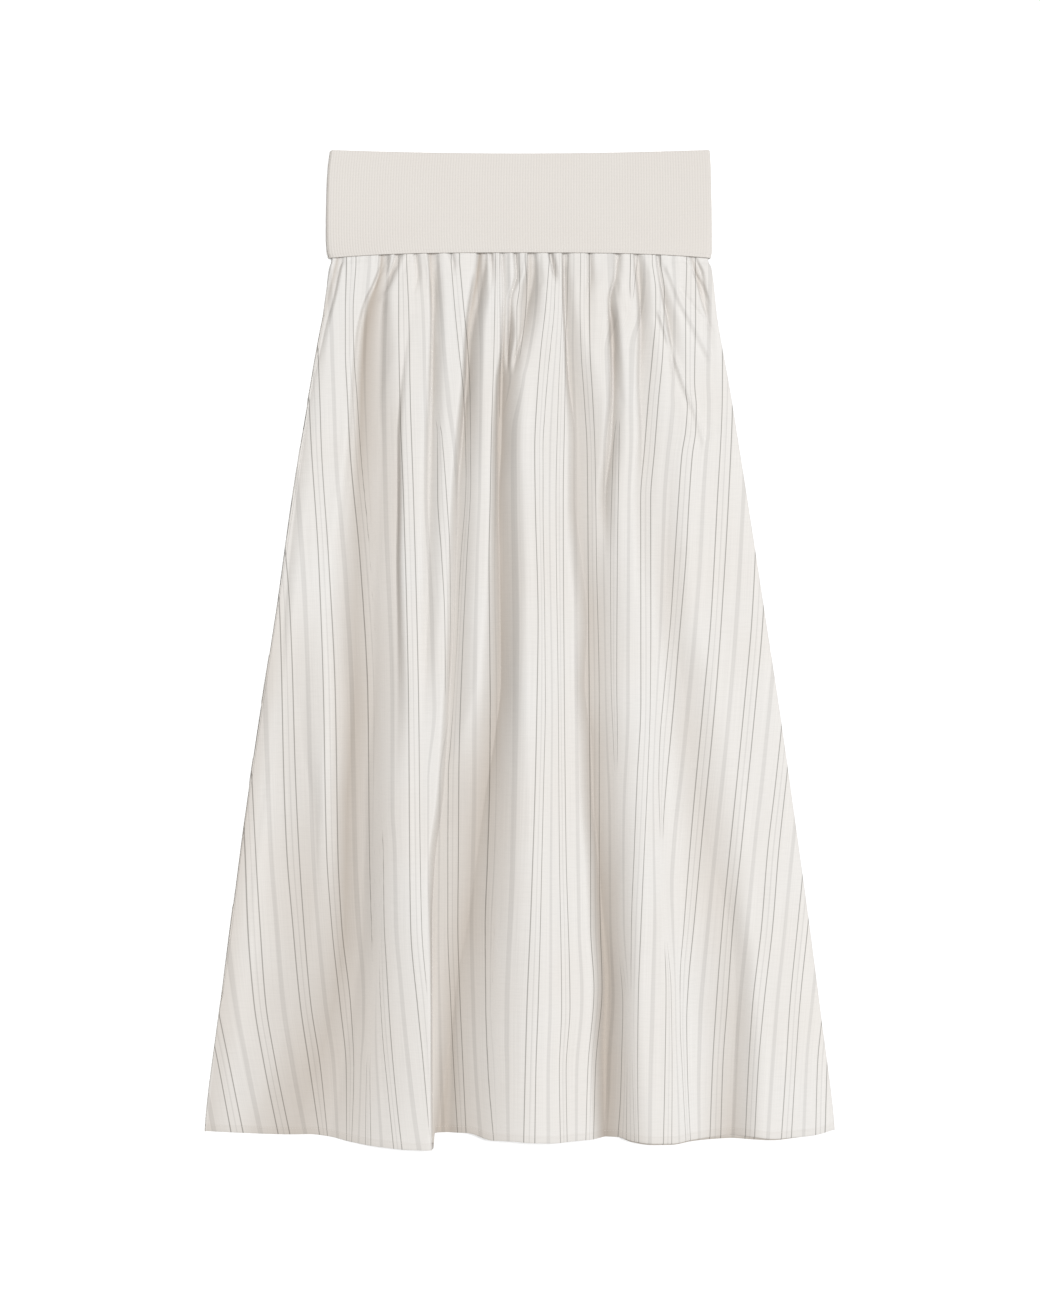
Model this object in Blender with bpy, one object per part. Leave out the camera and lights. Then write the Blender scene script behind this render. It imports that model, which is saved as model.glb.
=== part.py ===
"""Gathered midi skirt with a fold-over rib waistband, laid flat on its back panel.

The tables are in millimetres, and MM turns them into metres. X runs across the skirt, +Y towards the waist
and +Z up from the surface that the skirt lies on. "down" is the distance below the waistband's lower edge,
and "up" the distance above it.
"""
import math
from bisect import bisect_right
from collections import namedtuple

import bmesh
import bpy

MM = 0.001

# Driving sizes
BAND_EDGE_Y = 356.65    # the waistband's lower edge, at the middle of the front
BAND_HEIGHT = 93.2      # from the lower edge to the top fold, at the sides
BAND_TOP_DIP = 3.2      # the top fold hangs this much lower in the middle
BAND_EDGE_DROOP = 4.4   # the lower edge hangs this much lower at the sides
BAND_HALF_WIDTH = 172.0
SKIRT_LENGTH = 789.0    # below the waistband, to the corners of the hem
PANEL_SEAM_UP = 10.0    # the panels end this far above the band's lower edge, inside the band
BAND_SEAM_UP = 10.7     # the band's inner layer ends here, where it is sewn to the panels

CLOTH_THICKNESS = 1.1
RIB_CLOTH_THICKNESS = 1.3
GAP = 0.35              # between pieces that lie on each other or are sewn together
HEM_TURN = 7.0          # width of the turned hem
HEM_EXTRA = 0.4         # the turned hem is this much thicker

RIB_PITCH = 2.4
RIB_DEPTH = 0.25

WARM_WHITE = (0.84, 0.82, 0.78, 1.0)
BAND_CREAM = (0.78, 0.75, 0.70, 1.0)
CLOTH_ROUGHNESS = 0.9

Side = namedtuple("Side", "down left right")
Band = namedtuple("Band", "up left right thickness")
Crest = namedtuple("Crest", "down far_left left middle right far_right")
Station = namedtuple("Station", "down x depth left right soft")

# Side edges of the laid skirt
SIDES = [
    Side(-10, -168.4, 168.4),
    Side(3, -168.8, 169.6),
    Side(8, -170.7, 172.2),
    Side(56, -178.8, 177.2),
    Side(126, -190.2, 189.5),
    Side(216, -204.5, 204.0),
    Side(316, -219.6, 219.7),
    Side(416, -235.0, 234.5),
    Side(516, -250.4, 248.5),
    Side(616, -262.0, 262.2),
    Side(696, -274.0, 272.5),
    Side(771, -281.4, 281.2),
    Side(790, -283.2, 283.2),
]

# Side folds of the waistband's outer layer, and how thick the folded tube is there
BAND_SIDES = [
    Band(0, -171.2, 171.8, 7.4),
    Band(6, -173.0, 173.0, 7.2),
    Band(20, -173.8, 173.0, 6.8),
    Band(60, -173.2, 172.4, 6.2),
    Band(88, -171.2, 171.6, 6.2),
    Band(94, -169.8, 170.8, 6.2),
]

# Height of the front panel's crests above the surface, at five places across it
CREST_PLACES = (0.08, 0.3, 0.5, 0.7, 0.92)
CRESTS = [
    Crest(0, 9.5, 10.8, 11.0, 10.8, 9.5),
    Crest(40, 9.0, 12.0, 13.0, 12.5, 9.2),
    Crest(120, 8.2, 13.0, 15.5, 14.0, 8.8),
    Crest(300, 7.0, 14.0, 18.0, 15.5, 8.8),
    Crest(450, 6.5, 15.0, 20.0, 17.5, 9.0),
    Crest(600, 6.0, 17.0, 22.0, 19.0, 10.0),
    Crest(790, 5.5, 17.0, 22.0, 19.0, 11.0),
]

# Folds of the front panel, from left to right. Each is a trough: where it runs, how deep it is, how far its
# two slopes reach, and how soft its bottom is, from 0 for a sharp crease to 1 for a rounded trough.
FOLDS = {
    "left_corner_tuck": [
        Station(0, -158, 5, 4, 6, 0), Station(14, -164, 3, 4, 6, 0), Station(36, -172, 0, 4, 6, 0),
        Station(400, -223, 0, 4, 6, 0), Station(789, -266, 0, 4, 6, 0),
    ],
    "left_valley": [
        Station(0, -129, 6.5, 4, 12, 0), Station(15, -135, 7, 5, 20, 0), Station(60, -143, 7.5, 8, 24, 0.1),
        Station(132, -151, 7.5, 12, 42, 0.3), Station(240, -162, 8, 18, 58, 0.5),
        Station(402, -168, 9, 26, 66, 0.6), Station(582, -196, 10, 34, 88, 0.8),
        Station(717, -216, 11, 36, 108, 0.8), Station(789, -222, 11, 36, 114, 0.8),
    ],
    "left_gather": [
        Station(0, -118, 4, 3, 5, 0), Station(14, -119, 2.5, 3, 5, 0), Station(24, -121, 0, 3, 5, 0),
        Station(402, -142, 0, 4, 6, 0), Station(789, -176, 0, 4, 6, 0),
    ],
    "left_overlap": [
        Station(0, -100, 0, 4, 6, 0), Station(132, -107, 0, 4, 10, 0), Station(170, -107, 2.5, 4, 12, 0.2),
        Station(225, -109, 3, 4, 12, 0.2), Station(320, -112, 0, 4, 10, 0.2),
        Station(789, -142, 0, 4, 10, 0),
    ],
    "second_gather": [
        Station(0, -81, 7.5, 4, 9, 0), Station(15, -80, 7.5, 4, 10, 0), Station(60, -77, 6.5, 5, 11, 0),
        Station(96, -77, 5, 5, 11, 0), Station(177, -77, 3.5, 8, 9, 0.2), Station(240, -80, 3, 10, 9, 0.3),
        Station(312, -84, 2, 12, 10, 0.4), Station(400, -88, 0, 10, 10, 0.4),
        Station(789, -110, 0, 10, 10, 0),
    ],
    "small_gather": [
        Station(0, -62, 3, 3, 4, 0), Station(10, -60, 2, 3, 4, 0), Station(22, -60, 0, 3, 4, 0),
        Station(402, -77, 0, 4, 6, 0), Station(789, -93, 0, 4, 6, 0),
    ],
    "centre_left_valley": [
        Station(0, -43, 8, 4, 10, 0), Station(60, -45, 8, 5, 13, 0), Station(96, -48, 8, 6, 13, 0.1),
        Station(177, -54, 7, 9, 14, 0.2), Station(240, -58, 6.5, 12, 16, 0.3),
        Station(312, -60, 6, 18, 18, 0.4), Station(402, -65, 8, 24, 28, 0.5),
        Station(492, -71, 11, 18, 48, 0.4), Station(582, -75, 13, 8, 64, 0.4),
        Station(654, -78, 14, 4, 70, 0.4), Station(789, -79, 14, 3, 68, 0.4),
    ],
    "twin_gather": [
        Station(0, -33, 4, 4, 5, 0), Station(20, -34, 3, 4, 5, 0), Station(48, -36, 0, 4, 5, 0),
        Station(402, -45, 0, 5, 8, 0), Station(789, -50, 0, 5, 8, 0),
    ],
    "centre_crease": [
        Station(0, -18, 0, 4, 8, 0), Station(36, -16, 0, 4, 8, 0), Station(60, -13, 4, 5, 11, 0),
        Station(96, -15, 8, 6, 16, 0), Station(132, -19, 10.5, 7, 20, 0.1),
        Station(240, -23, 11.5, 8, 24, 0.2), Station(402, -25, 10, 10, 30, 0.3),
        Station(492, -32, 6, 14, 34, 0.5), Station(580, -38, 2, 16, 34, 0.6), Station(640, -38, 0, 16, 30, 0.6),
        Station(789, -28, 0, 10, 20, 0),
    ],
    "pinch_left": [
        Station(0, 1, 4, 3, 5, 0), Station(33, -1, 3, 4, 6, 0), Station(80, -4, 2, 4, 6, 0),
        Station(110, -7, 0, 4, 6, 0), Station(402, 0, 0, 5, 8, 0), Station(789, 0, 0, 5, 8, 0),
    ],
    "pinch_right": [
        Station(0, 11, 5, 4, 6, 0), Station(20, 12, 5, 4, 8, 0.1), Station(45, 12, 3, 5, 9, 0.2),
        Station(78, 10, 0, 5, 9, 0.2), Station(402, 18, 0, 5, 8, 0), Station(789, 22, 0, 5, 8, 0),
    ],
    "third_gather": [
        Station(0, 26, 4.5, 3, 4, 0), Station(14, 29, 3, 3, 4, 0), Station(28, 31, 0, 3, 4, 0),
        Station(402, 36, 0, 4, 6, 0), Station(789, 44, 0, 4, 6, 0),
    ],
    "right_valley": [
        Station(0, 41, 7.5, 4, 6, 0), Station(33, 42, 8.5, 4, 7, 0), Station(60, 43, 8.5, 4, 8, 0),
        Station(96, 43, 8, 5, 11, 0.1), Station(132, 47, 6, 7, 24, 0.2), Station(177, 48, 5.5, 14, 36, 0.4),
        Station(240, 48, 6, 18, 42, 0.6), Station(312, 49, 8, 20, 42, 0.6), Station(402, 51, 9, 22, 44, 0.6),
        Station(492, 55, 11, 20, 40, 0.5), Station(582, 62, 12, 16, 38, 0.4),
        Station(654, 65, 13, 12, 36, 0.4), Station(789, 67, 12, 11, 42, 0.4),
    ],
    "fourth_gather": [
        Station(0, 62, 2.5, 3, 4, 0), Station(12, 62, 1.5, 3, 4, 0), Station(26, 62, 0, 3, 4, 0),
        Station(240, 60, 0, 4, 6, 0), Station(402, 66, 0, 4, 6, 0), Station(789, 85, 0, 4, 6, 0),
    ],
    "right_leaning_crease": [
        Station(0, 82, 6, 5, 6, 0), Station(33, 81, 8, 6, 6, 0), Station(60, 82, 8, 7, 7, 0),
        Station(96, 84, 7, 8, 6, 0), Station(132, 87, 6, 8, 5, 0.1), Station(150, 86, 5, 8, 6, 0.2),
        Station(185, 80, 4.5, 8, 10, 0.2), Station(240, 73, 4, 8, 12, 0.2), Station(275, 70, 2.5, 8, 12, 0.2),
        Station(320, 69, 0, 8, 12, 0.2), Station(402, 80, 0, 8, 10, 0), Station(789, 104, 0, 8, 10, 0),
    ],
    "fifth_gather": [
        Station(0, 111, 4, 5, 6, 0), Station(15, 111, 3.5, 6, 8, 0.1), Station(60, 110, 3, 7, 10, 0.2),
        Station(96, 108, 2.5, 7, 10, 0.3), Station(140, 108, 0, 7, 10, 0.3), Station(402, 112, 0, 7, 10, 0),
        Station(789, 132, 0, 7, 10, 0),
    ],
    "right_shelf_valley": [
        Station(0, 121, 4, 3, 4, 0), Station(14, 125, 4, 3, 4, 0), Station(30, 128, 2, 3, 4, 0),
        Station(45, 127, 0, 4, 5, 0), Station(177, 128, 1, 12, 14, 0.5), Station(312, 138, 2, 14, 20, 0.6),
        Station(402, 148, 2.5, 16, 24, 0.6), Station(492, 158, 3, 18, 28, 0.6),
        Station(582, 167, 4, 20, 32, 0.6), Station(717, 182, 6.5, 22, 28, 0.5),
        Station(789, 183, 7.5, 22, 28, 0.5),
    ],
    "right_corner_tuck": [
        Station(0, 150, 5, 4, 5, 0), Station(15, 155, 4.5, 4, 5, 0), Station(40, 163, 2.5, 4, 6, 0),
        Station(56, 168, 0, 4, 6, 0), Station(132, 174, 0, 4, 6, 0), Station(402, 200, 0, 4, 6, 0),
        Station(789, 226, 0, 4, 6, 0),
    ],
}

# How far the front hem hangs below SKIRT_LENGTH, along the hem from left to right
FRONT_HEM = [
    (-283, 0.0), (-189, 1.0), (-171, 4.5), (-153, 10.0), (-126, 14.5), (-81, 17.6), (-78, 2.0), (-49, 2.0),
    (-31, 5.5), (1, 11.8), (23, 12.6), (50, 10.0), (72, 7.4), (90, 6.4), (93, 8.2), (108, 11.8), (122, 13.1),
    (135, 12.2), (153, 8.2), (162, 6.0), (198, 5.0), (234, 6.4), (261, 4.5), (283, -1.7),
]
# The back hem lies a little higher on the left and shows below the front hem on the right
BACK_HEM = [
    (-283, -2.5), (-78, -0.5), (-31, 1.0), (23, 8.0), (72, 7.0), (93, 10.4), (122, 15.0), (144, 12.8),
    (162, 8.8), (198, 7.6), (234, 9.2), (257, 7.6), (283, -3.0),
]
HEM_WAVE_FROM = 560.0   # the hem's waves die out this far down the skirt

# Rows of the panels, as distances below the waistband
HEM_ROWS = (SKIRT_LENGTH - HEM_TURN - 1, SKIRT_LENGTH - HEM_TURN, SKIRT_LENGTH)
FRONT_ROWS = (-PANEL_SEAM_UP, 2, 14, 30, 54, 84, 122, 170, 230, 300, 380, 470, 560, 640, 715) + HEM_ROWS
BACK_ROWS = (-PANEL_SEAM_UP, 1, 16, 45, 120, 560) + HEM_ROWS[1:]

SLOPE_STEPS = (0.4, 1.0)        # columns on each slope, as parts of its reach
SLOPE_ROOM = 0.42               # most of the room between two folds that one slope's columns take
EDGE_ROLL = 5.0                 # radius of the panel's rounded side edge
EDGE_SOFTNESS = 18.0            # the panel rises towards its crests over about this width

BACK_GATHERS = 24
BACK_GATHER_HEIGHT = 1.8
BACK_GATHER_WALL = 1.3          # a gather's steep wall is this much thicker, measured upright
BACK_GATHER_FADE = 110.0        # the back's gathers end this far down
BACK_GATHER_STEPS = ((0.0, 0.0), (0.3, 0.0), (0.55, 1.0), (0.8, 0.0))
BACK_TOP_HALF_WIDTH = 165.0
BACK_LIFT = RIB_CLOTH_THICKNESS + GAP   # the back panel lies on the band's back layer here

BAND_FINE_UPS = (0.0, 5.0, 30.0)        # rows of the band's ribbed face, below its top fold
BAND_CROWN = 13.0                       # height of the lower edge over the gathers
BAND_CROWN_FADE = 40.0
BAND_COARSE_COLUMNS = 24
BAND_TURN_STEPS = 6
FOLD_ARC = (45.0, 90.0, 135.0)


def curve(points, place):
    """Value at a place on a smooth curve through rising (place, value) points, without overshoot."""
    places = [point[0] for point in points]
    if place <= places[0]:
        return points[0][1]
    if place >= places[-1]:
        return points[-1][1]
    i = bisect_right(places, place) - 1

    def grade(a):
        return (points[a + 1][1] - points[a][1]) / (points[a + 1][0] - points[a][0])

    def tangent(a):
        if a == 0 or a == len(points) - 1:
            return grade(min(a, len(points) - 2))
        before, after = grade(a - 1), grade(a)
        return 0.0 if before * after <= 0 else 2 * before * after / (before + after)

    step = places[i + 1] - places[i]
    t = (place - places[i]) / step
    return (
        points[i][1] * (1 + 2 * t) * (1 - t) ** 2
        + tangent(i) * step * t * (1 - t) ** 2
        + points[i + 1][1] * t * t * (3 - 2 * t)
        + tangent(i + 1) * step * t * t * (t - 1)
    )


def column(table, name):
    """One named column of a table, as (first column, value) points."""
    return [(row[0], getattr(row, name)) for row in table]


def smooth_step(t):
    t = min(max(t, 0.0), 1.0)
    return t * t * (3 - 2 * t)


# ---- the folds of the front panel ----

def fold_line(down):
    """The folds as they stand at one level of the skirt."""
    line = []
    for stations in FOLDS.values():
        values = [curve(column(stations, name), down) for name in ("x", "depth", "left", "right", "soft")]
        line.append(Station(down, *values))
    return line


def slope(t, soft):
    """Share of a fold's depth left at t, from its bottom at 0 to its crest at 1."""
    if t >= 1:
        return 0.0
    return (1 - soft) * (1 - t) ** 2 + soft * 0.5 * (1 + math.cos(math.pi * t))


def crest_height(share, down):
    """Height of the crests at a share of the panel's width."""
    names = Crest._fields[1:]
    across = [(place, curve(column(CRESTS, name), down)) for place, name in zip(CREST_PLACES, names)]
    return curve(across, share)


def band_crown(x, up):
    """Height of the waistband's outer face over the gathers that it covers."""
    edge = curve(column(BAND_SIDES, "thickness"), up)
    lift = smooth_step(1 - up / BAND_CROWN_FADE)
    dome = max(0.0, 1 - (abs(x) / BAND_HALF_WIDTH) ** 4)
    return edge + (BAND_CROWN - edge) * lift * dome


def back_lift(down):
    """Height of the back panel's underside: on the band's back layer at the top, on the floor below."""
    return BACK_LIFT * (1 - smooth_step((down - 6) / 12))


def back_gather_height(x, down):
    """Height of the back panel's gathers, which die out down the skirt and towards its sides."""
    fade = 1 - min(max(down / BACK_GATHER_FADE, 0.0), 1.0)
    return BACK_GATHER_HEIGHT * fade * (1 - min(abs(x) / BACK_TOP_HALF_WIDTH, 1.0) ** 6)


def back_top(x, down):
    """Highest that the back panel reaches, its gathers included."""
    gathers = back_gather_height(x, down)
    return back_lift(down) + CLOTH_THICKNESS * (BACK_GATHER_WALL if gathers > 0 else 1.0) + gathers


def front_height(x, down, line, left, right):
    """Top face of the front panel."""
    lowest = back_top(x, down) + GAP + CLOTH_THICKNESS
    from_edge = min(x - left, right - x)
    crest = crest_height((x - left) / (right - left), down)
    if down < BAND_EDGE_DROOP:
        crest = min(crest, band_crown(x, max(-down, 0.0)) - RIB_CLOTH_THICKNESS - 1.5 * GAP)
    roll = min(max(from_edge, 0.0) / EDGE_ROLL, 1.0)
    rise = 0.3 * math.sqrt(1 - (1 - roll) ** 2) + 0.7 * (1 - math.exp(-max(from_edge, 0.0) / EDGE_SOFTNESS))
    height = lowest + max(crest - lowest, 0.0) * rise
    for fold in line:
        reach = fold.left if x < fold.x else fold.right
        height -= fold.depth * slope(abs(x - fold.x) / reach, fold.soft)
    return max(height, lowest)


def front_columns(line, left, right):
    """Places of the columns at one level, close together on the folds' slopes."""
    marks = [(left, EDGE_ROLL, EDGE_ROLL)]
    marks += [(fold.x, fold.left, fold.right) for fold in line]
    marks += [(right, EDGE_ROLL, EDGE_ROLL)]
    places = [left]
    for (here, _, after), (there, before, _) in zip(marks, marks[1:]):
        room = there - here
        after = min(after, SLOPE_ROOM * room)
        before = min(before, SLOPE_ROOM * room)
        places += [here + after * step for step in SLOPE_STEPS]
        places += [there - before * step for step in reversed(SLOPE_STEPS)]
        places.append(there)
    return places


# ---- walls ----

def hem_hang(hem, x, down):
    wave = smooth_step((down - HEM_WAVE_FROM) / (SKIRT_LENGTH - HEM_WAVE_FROM))
    return curve(hem, x) * wave


def edge_droop(x, down):
    """The band's lower edge hangs lower at the sides, and the cloth below follows it at first."""
    return BAND_EDGE_DROOP * (min(abs(x) / BAND_HALF_WIDTH, 1.0)) ** 3 * (1 - smooth_step(down / 120))


def wall(name, rows, colour):
    """A closed wall from rows of (top point, thickness) pairs: a grid, extruded into its upper face."""
    bm = bmesh.new()
    across, along = len(rows[0]), len(rows)
    bmesh.ops.create_grid(bm, x_segments=across - 1, y_segments=along - 1, size=0.5)
    bmesh.ops.triangulate(bm, faces=bm.faces[:], quad_method="FIXED")
    under = {}
    for vert in bm.verts:
        spot = rows[round((0.5 - vert.co.y) * (along - 1))][round((vert.co.x + 0.5) * (across - 1))]
        under[vert] = spot
    for vert, ((x, y, z), thickness) in under.items():
        vert.co = (x * MM, y * MM, (z - thickness) * MM)
    made = bmesh.ops.extrude_face_region(bm, geom=bm.faces[:])
    lifts = {tuple(round(c, 7) for c in vert.co): spot[1] for vert, spot in under.items()}
    for vert in made["geom"]:
        if isinstance(vert, bmesh.types.BMVert):
            vert.co.z += lifts[tuple(round(c, 7) for c in vert.co)] * MM
    bmesh.ops.recalc_face_normals(bm, faces=bm.faces[:])
    return finish(name, bm, colour)


def finish(name, bm, colour):
    mesh = bpy.data.meshes.new(name)
    bm.to_mesh(mesh)
    bm.free()
    mesh.shade_smooth()
    piece = bpy.data.objects.new(name, mesh)
    bpy.context.scene.collection.objects.link(piece)
    material = bpy.data.materials.new(name)
    material.use_nodes = True
    shader = material.node_tree.nodes["Principled BSDF"]
    shader.inputs["Base Color"].default_value = colour
    shader.inputs["Roughness"].default_value = CLOTH_ROUGHNESS
    shader.inputs["Metallic"].default_value = 0.0
    mesh.materials.append(material)
    return piece


def make_front():
    rows = []
    for down in FRONT_ROWS:
        left, right = (curve(column(SIDES, name), down) for name in ("left", "right"))
        line = fold_line(down)
        places = front_columns(line, left, right)
        heights = [front_height(x, down, line, left, right) for x in places]
        row = []
        for i, (x, z) in enumerate(zip(places, heights)):
            before, after = max(i - 1, 0), min(i + 1, len(places) - 1)
            steepness = (heights[after] - heights[before]) / (places[after] - places[before])
            thickness = CLOTH_THICKNESS * min(math.sqrt(1 + steepness ** 2), 2.2)
            if down >= SKIRT_LENGTH - HEM_TURN:
                z += HEM_EXTRA
                thickness += HEM_EXTRA
            lowest = back_top(x, down) + GAP
            z = max(z, lowest + thickness)
            y = BAND_EDGE_Y - down - edge_droop(x, down) - hem_hang(FRONT_HEM, x, down)
            row.append(((x, y, z), thickness))
        rows.append(row)
    return wall("skirt_front", rows, WARM_WHITE)


def make_back():
    rows = []
    for down in BACK_ROWS:
        left, right = (curve(column(SIDES, name), down) for name in ("left", "right"))
        if down < 8:
            left, right = -BACK_TOP_HALF_WIDTH, BACK_TOP_HALF_WIDTH
        shares = [(n + step) / BACK_GATHERS for n in range(BACK_GATHERS) for step, _ in BACK_GATHER_STEPS]
        lifts = [lift for _ in range(BACK_GATHERS) for _, lift in BACK_GATHER_STEPS]
        row = []
        for share, lift in zip(shares + [1.0], lifts + [0.0]):
            x = left + (right - left) * share
            gather = back_gather_height(x, down)
            thickness = CLOTH_THICKNESS * (BACK_GATHER_WALL if gather * lift > 0 else 1.0)
            z = back_lift(down) + gather * lift + thickness
            y = BAND_EDGE_Y - down - edge_droop(x, down) - hem_hang(BACK_HEM, x, down)
            row.append(((x, y, z), thickness))
        rows.append(row)
    return wall("skirt_back", rows, WARM_WHITE)


# ---- the waistband ----

def band_stations(front_columns_count):
    """Places round the folded tube: share of a turn, side, and where along that side."""
    stations = []
    for i in range(front_columns_count):
        stations.append(("front", -1 + 2 * i / front_columns_count))
    for i in range(BAND_TURN_STEPS):
        stations.append(("right", 90 - 180 * i / BAND_TURN_STEPS))
    for i in range(BAND_COARSE_COLUMNS):
        stations.append(("back", 1 - 2 * i / BAND_COARSE_COLUMNS))
    for i in range(BAND_TURN_STEPS):
        stations.append(("left", 270 - 180 * i / BAND_TURN_STEPS))
    return stations


def band_turn_share(station):
    """Where a station lies round the tube, so that loops with other counts can be joined."""
    side, value = station
    return {
        "front": (value + 1) / 2,
        "right": 1 + (90 - value) / 180,
        "back": 2 + (1 - value) / 2,
        "left": 3 + (270 - value) / 180,
    }[side]


def band_point(station, up, inset, rib=0.0):
    """A point of the folded tube, `inset` inside its outer skin and `up` above its lower edge."""
    side, value = station
    left, right = (curve(column(BAND_SIDES, name), up) for name in ("left", "right"))
    radius = curve(column(BAND_SIDES, "thickness"), up) / 2
    flat_left, flat_right = left + radius, right - radius
    if side in ("front", "back"):
        x = flat_left + (flat_right - flat_left) * (value + 1) / 2
        z = band_crown(x, up) - inset - rib if side == "front" else inset
    else:
        angle = math.radians(value)
        x = (flat_right if side == "right" else flat_left) + (radius - inset) * math.cos(angle)
        z = radius + (radius - inset) * math.sin(angle)
    across = min(abs(x) / BAND_HALF_WIDTH, 1.0)
    low = BAND_EDGE_Y - BAND_EDGE_DROOP * across ** 3
    high = BAND_EDGE_Y + BAND_HEIGHT - BAND_TOP_DIP * (1 - across ** 2)
    y = low + (high - low) * up / BAND_HEIGHT
    return (x * MM, y * MM, z * MM)


def join_loops(bm, first, second):
    """Faces between two closed loops of (share of the turn, vertex), whose counts may differ."""
    i = j = 0
    while i < len(first) or j < len(second):
        a, b = first[i % len(first)], second[j % len(second)]
        next_a, next_b = first[(i + 1) % len(first)], second[(j + 1) % len(second)]
        place_a = next_a[0] if i + 1 < len(first) else 4.0
        place_b = next_b[0] if j + 1 < len(second) else 4.0
        if i < len(first) and j < len(second) and abs(place_a - place_b) < 1e-6:
            bm.faces.new((a[1], next_a[1], b[1]))
            bm.faces.new((b[1], next_a[1], next_b[1]))
            i, j = i + 1, j + 1
        elif i < len(first) and (j >= len(second) or place_a < place_b):
            bm.faces.new((a[1], next_a[1], b[1]))
            i += 1
        else:
            bm.faces.new((b[1], a[1], next_b[1]))
            j += 1


def make_band():
    """One tube of rib knit, folded at the top and turned down over the seam."""
    cloth = RIB_CLOTH_THICKNESS
    fold_inset = cloth + GAP / 2
    fold_up = BAND_HEIGHT - fold_inset
    ribs = round((2 * BAND_HALF_WIDTH - 8) / RIB_PITCH / BAND_COARSE_COLUMNS) * BAND_COARSE_COLUMNS
    coarse = band_stations(BAND_COARSE_COLUMNS)
    fine = band_stations(2 * ribs)
    inner = 2 * cloth + GAP
    section = [(fine, up, 0.0) for up in BAND_FINE_UPS] + [(fine, fold_up, 0.0)]
    for angle in FOLD_ARC:
        turn = math.radians(angle)
        section.append((coarse, fold_up + fold_inset * math.sin(turn), fold_inset * (1 - math.cos(turn))))
    section += [
        (coarse, fold_up, inner), (coarse, 30.0, inner), (coarse, BAND_SEAM_UP, inner),
        (coarse, BAND_SEAM_UP, cloth + GAP), (coarse, 30.0, cloth + GAP), (coarse, fold_up, cloth + GAP),
        (coarse, fold_up + GAP / 2, fold_inset),
        (coarse, fold_up, cloth), (coarse, 30.0, cloth), (coarse, 5.0, cloth), (coarse, 0.0, cloth),
    ]
    bm = bmesh.new()
    loops = []
    for stations, up, inset in section:
        loop = []
        for i, station in enumerate(stations):
            groove = RIB_DEPTH if stations is fine and station[0] == "front" and i % 2 else 0.0
            vert = bm.verts.new(band_point(station, up, inset, groove))
            loop.append((band_turn_share(station), vert))
        loops.append(loop)
    for first, second in zip(loops, loops[1:] + loops[:1]):
        join_loops(bm, first, second)
    bmesh.ops.recalc_face_normals(bm, faces=bm.faces[:])
    return finish("waistband", bm, BAND_CREAM)


def main():
    for piece in list(bpy.data.objects):
        bpy.data.objects.remove(piece, do_unlink=True)
    make_back()
    make_front()
    make_band()


main()
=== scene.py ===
"""Gathered midi skirt with a fold-over rib waistband, laid flat on a pale floor, seen from straight above.

Sizes are in millimetres, and MM turns them into metres. Only the cuts, the floor and the camera's place are
given in metres. X runs across the skirt, +Y towards the waist and +Z up from the floor. "down" is the
distance below the waistband's lower edge, and "up" the distance above it.
"""
import math
from bisect import bisect_right
from collections import namedtuple

import bmesh
import bpy
from mathutils import Matrix, Vector, noise


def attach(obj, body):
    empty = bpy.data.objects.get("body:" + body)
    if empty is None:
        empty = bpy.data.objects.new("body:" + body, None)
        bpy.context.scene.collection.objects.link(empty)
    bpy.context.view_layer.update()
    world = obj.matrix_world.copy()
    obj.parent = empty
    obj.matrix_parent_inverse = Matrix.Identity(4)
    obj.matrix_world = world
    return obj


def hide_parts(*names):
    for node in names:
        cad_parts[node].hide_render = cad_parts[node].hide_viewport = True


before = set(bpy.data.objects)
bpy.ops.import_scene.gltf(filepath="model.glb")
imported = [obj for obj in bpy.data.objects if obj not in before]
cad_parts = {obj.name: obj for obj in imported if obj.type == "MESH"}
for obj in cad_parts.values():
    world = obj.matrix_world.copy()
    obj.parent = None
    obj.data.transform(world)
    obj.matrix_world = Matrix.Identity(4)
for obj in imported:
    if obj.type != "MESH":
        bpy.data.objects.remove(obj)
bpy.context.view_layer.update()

MM = 0.001

# Driving sizes, the same as in the solids' source
BAND_EDGE_Y = 356.65    # the waistband's lower edge, at the middle of the front
BAND_HEIGHT = 93.2      # from the lower edge to the top fold, at the sides
BAND_TOP_DIP = 3.2      # the top fold hangs this much lower in the middle
BAND_EDGE_DROOP = 4.4   # the lower edge hangs this much lower at the sides
BAND_HALF_WIDTH = 172.0
SKIRT_LENGTH = 789.0    # below the waistband, to the corners of the hem
PANEL_SEAM_UP = 10.0    # the panels end this far above the band's lower edge, inside the band
BAND_SEAM_UP = 10.7     # the band's inner layer ends here, where it is sewn to the panels
CLOTH_ROOM = 1.1        # height of the solid that each layer of cloth lies in
RIB_CLOTH_THICKNESS = 1.3
GAP = 0.35

# The cloth itself
CLOTH_THICKNESS = 0.45
HEM_TURN = 6.5
HEM_FROM = SKIRT_LENGTH - HEM_TURN      # the turned edge reaches up to here
HEM_SHOWS = 0.25        # the turned edge under the hem lifts the cloth by this much
HEM_RIDGE_FROM = HEM_FROM - 0.4         # from here on, over a millimetre
HEM_BEND = 0.5          # radius of the front hem's edge, which turns down to the inside
BACK_HEM_BEND = 0.1     # of the back hem's edge, which turns up to the inside, within the cloth
BACK_HEM_LIFT = 0.3     # the back hem lies on its stitches
SIDE_BEND = 1.0         # radius of the fold down each side
RIB_PITCH = 2.4
RIB_DEPTH = 0.31
RIB_SHARPNESS = 1.5     # a higher value makes the grooves between the ribs narrower
STRIPE_REPEAT = 41.0    # of cloth, from one pair of stripes to the next
PAIR_HALF_WIDTH = 5.3   # of cloth, from the middle of a pair to either stripe

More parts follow.
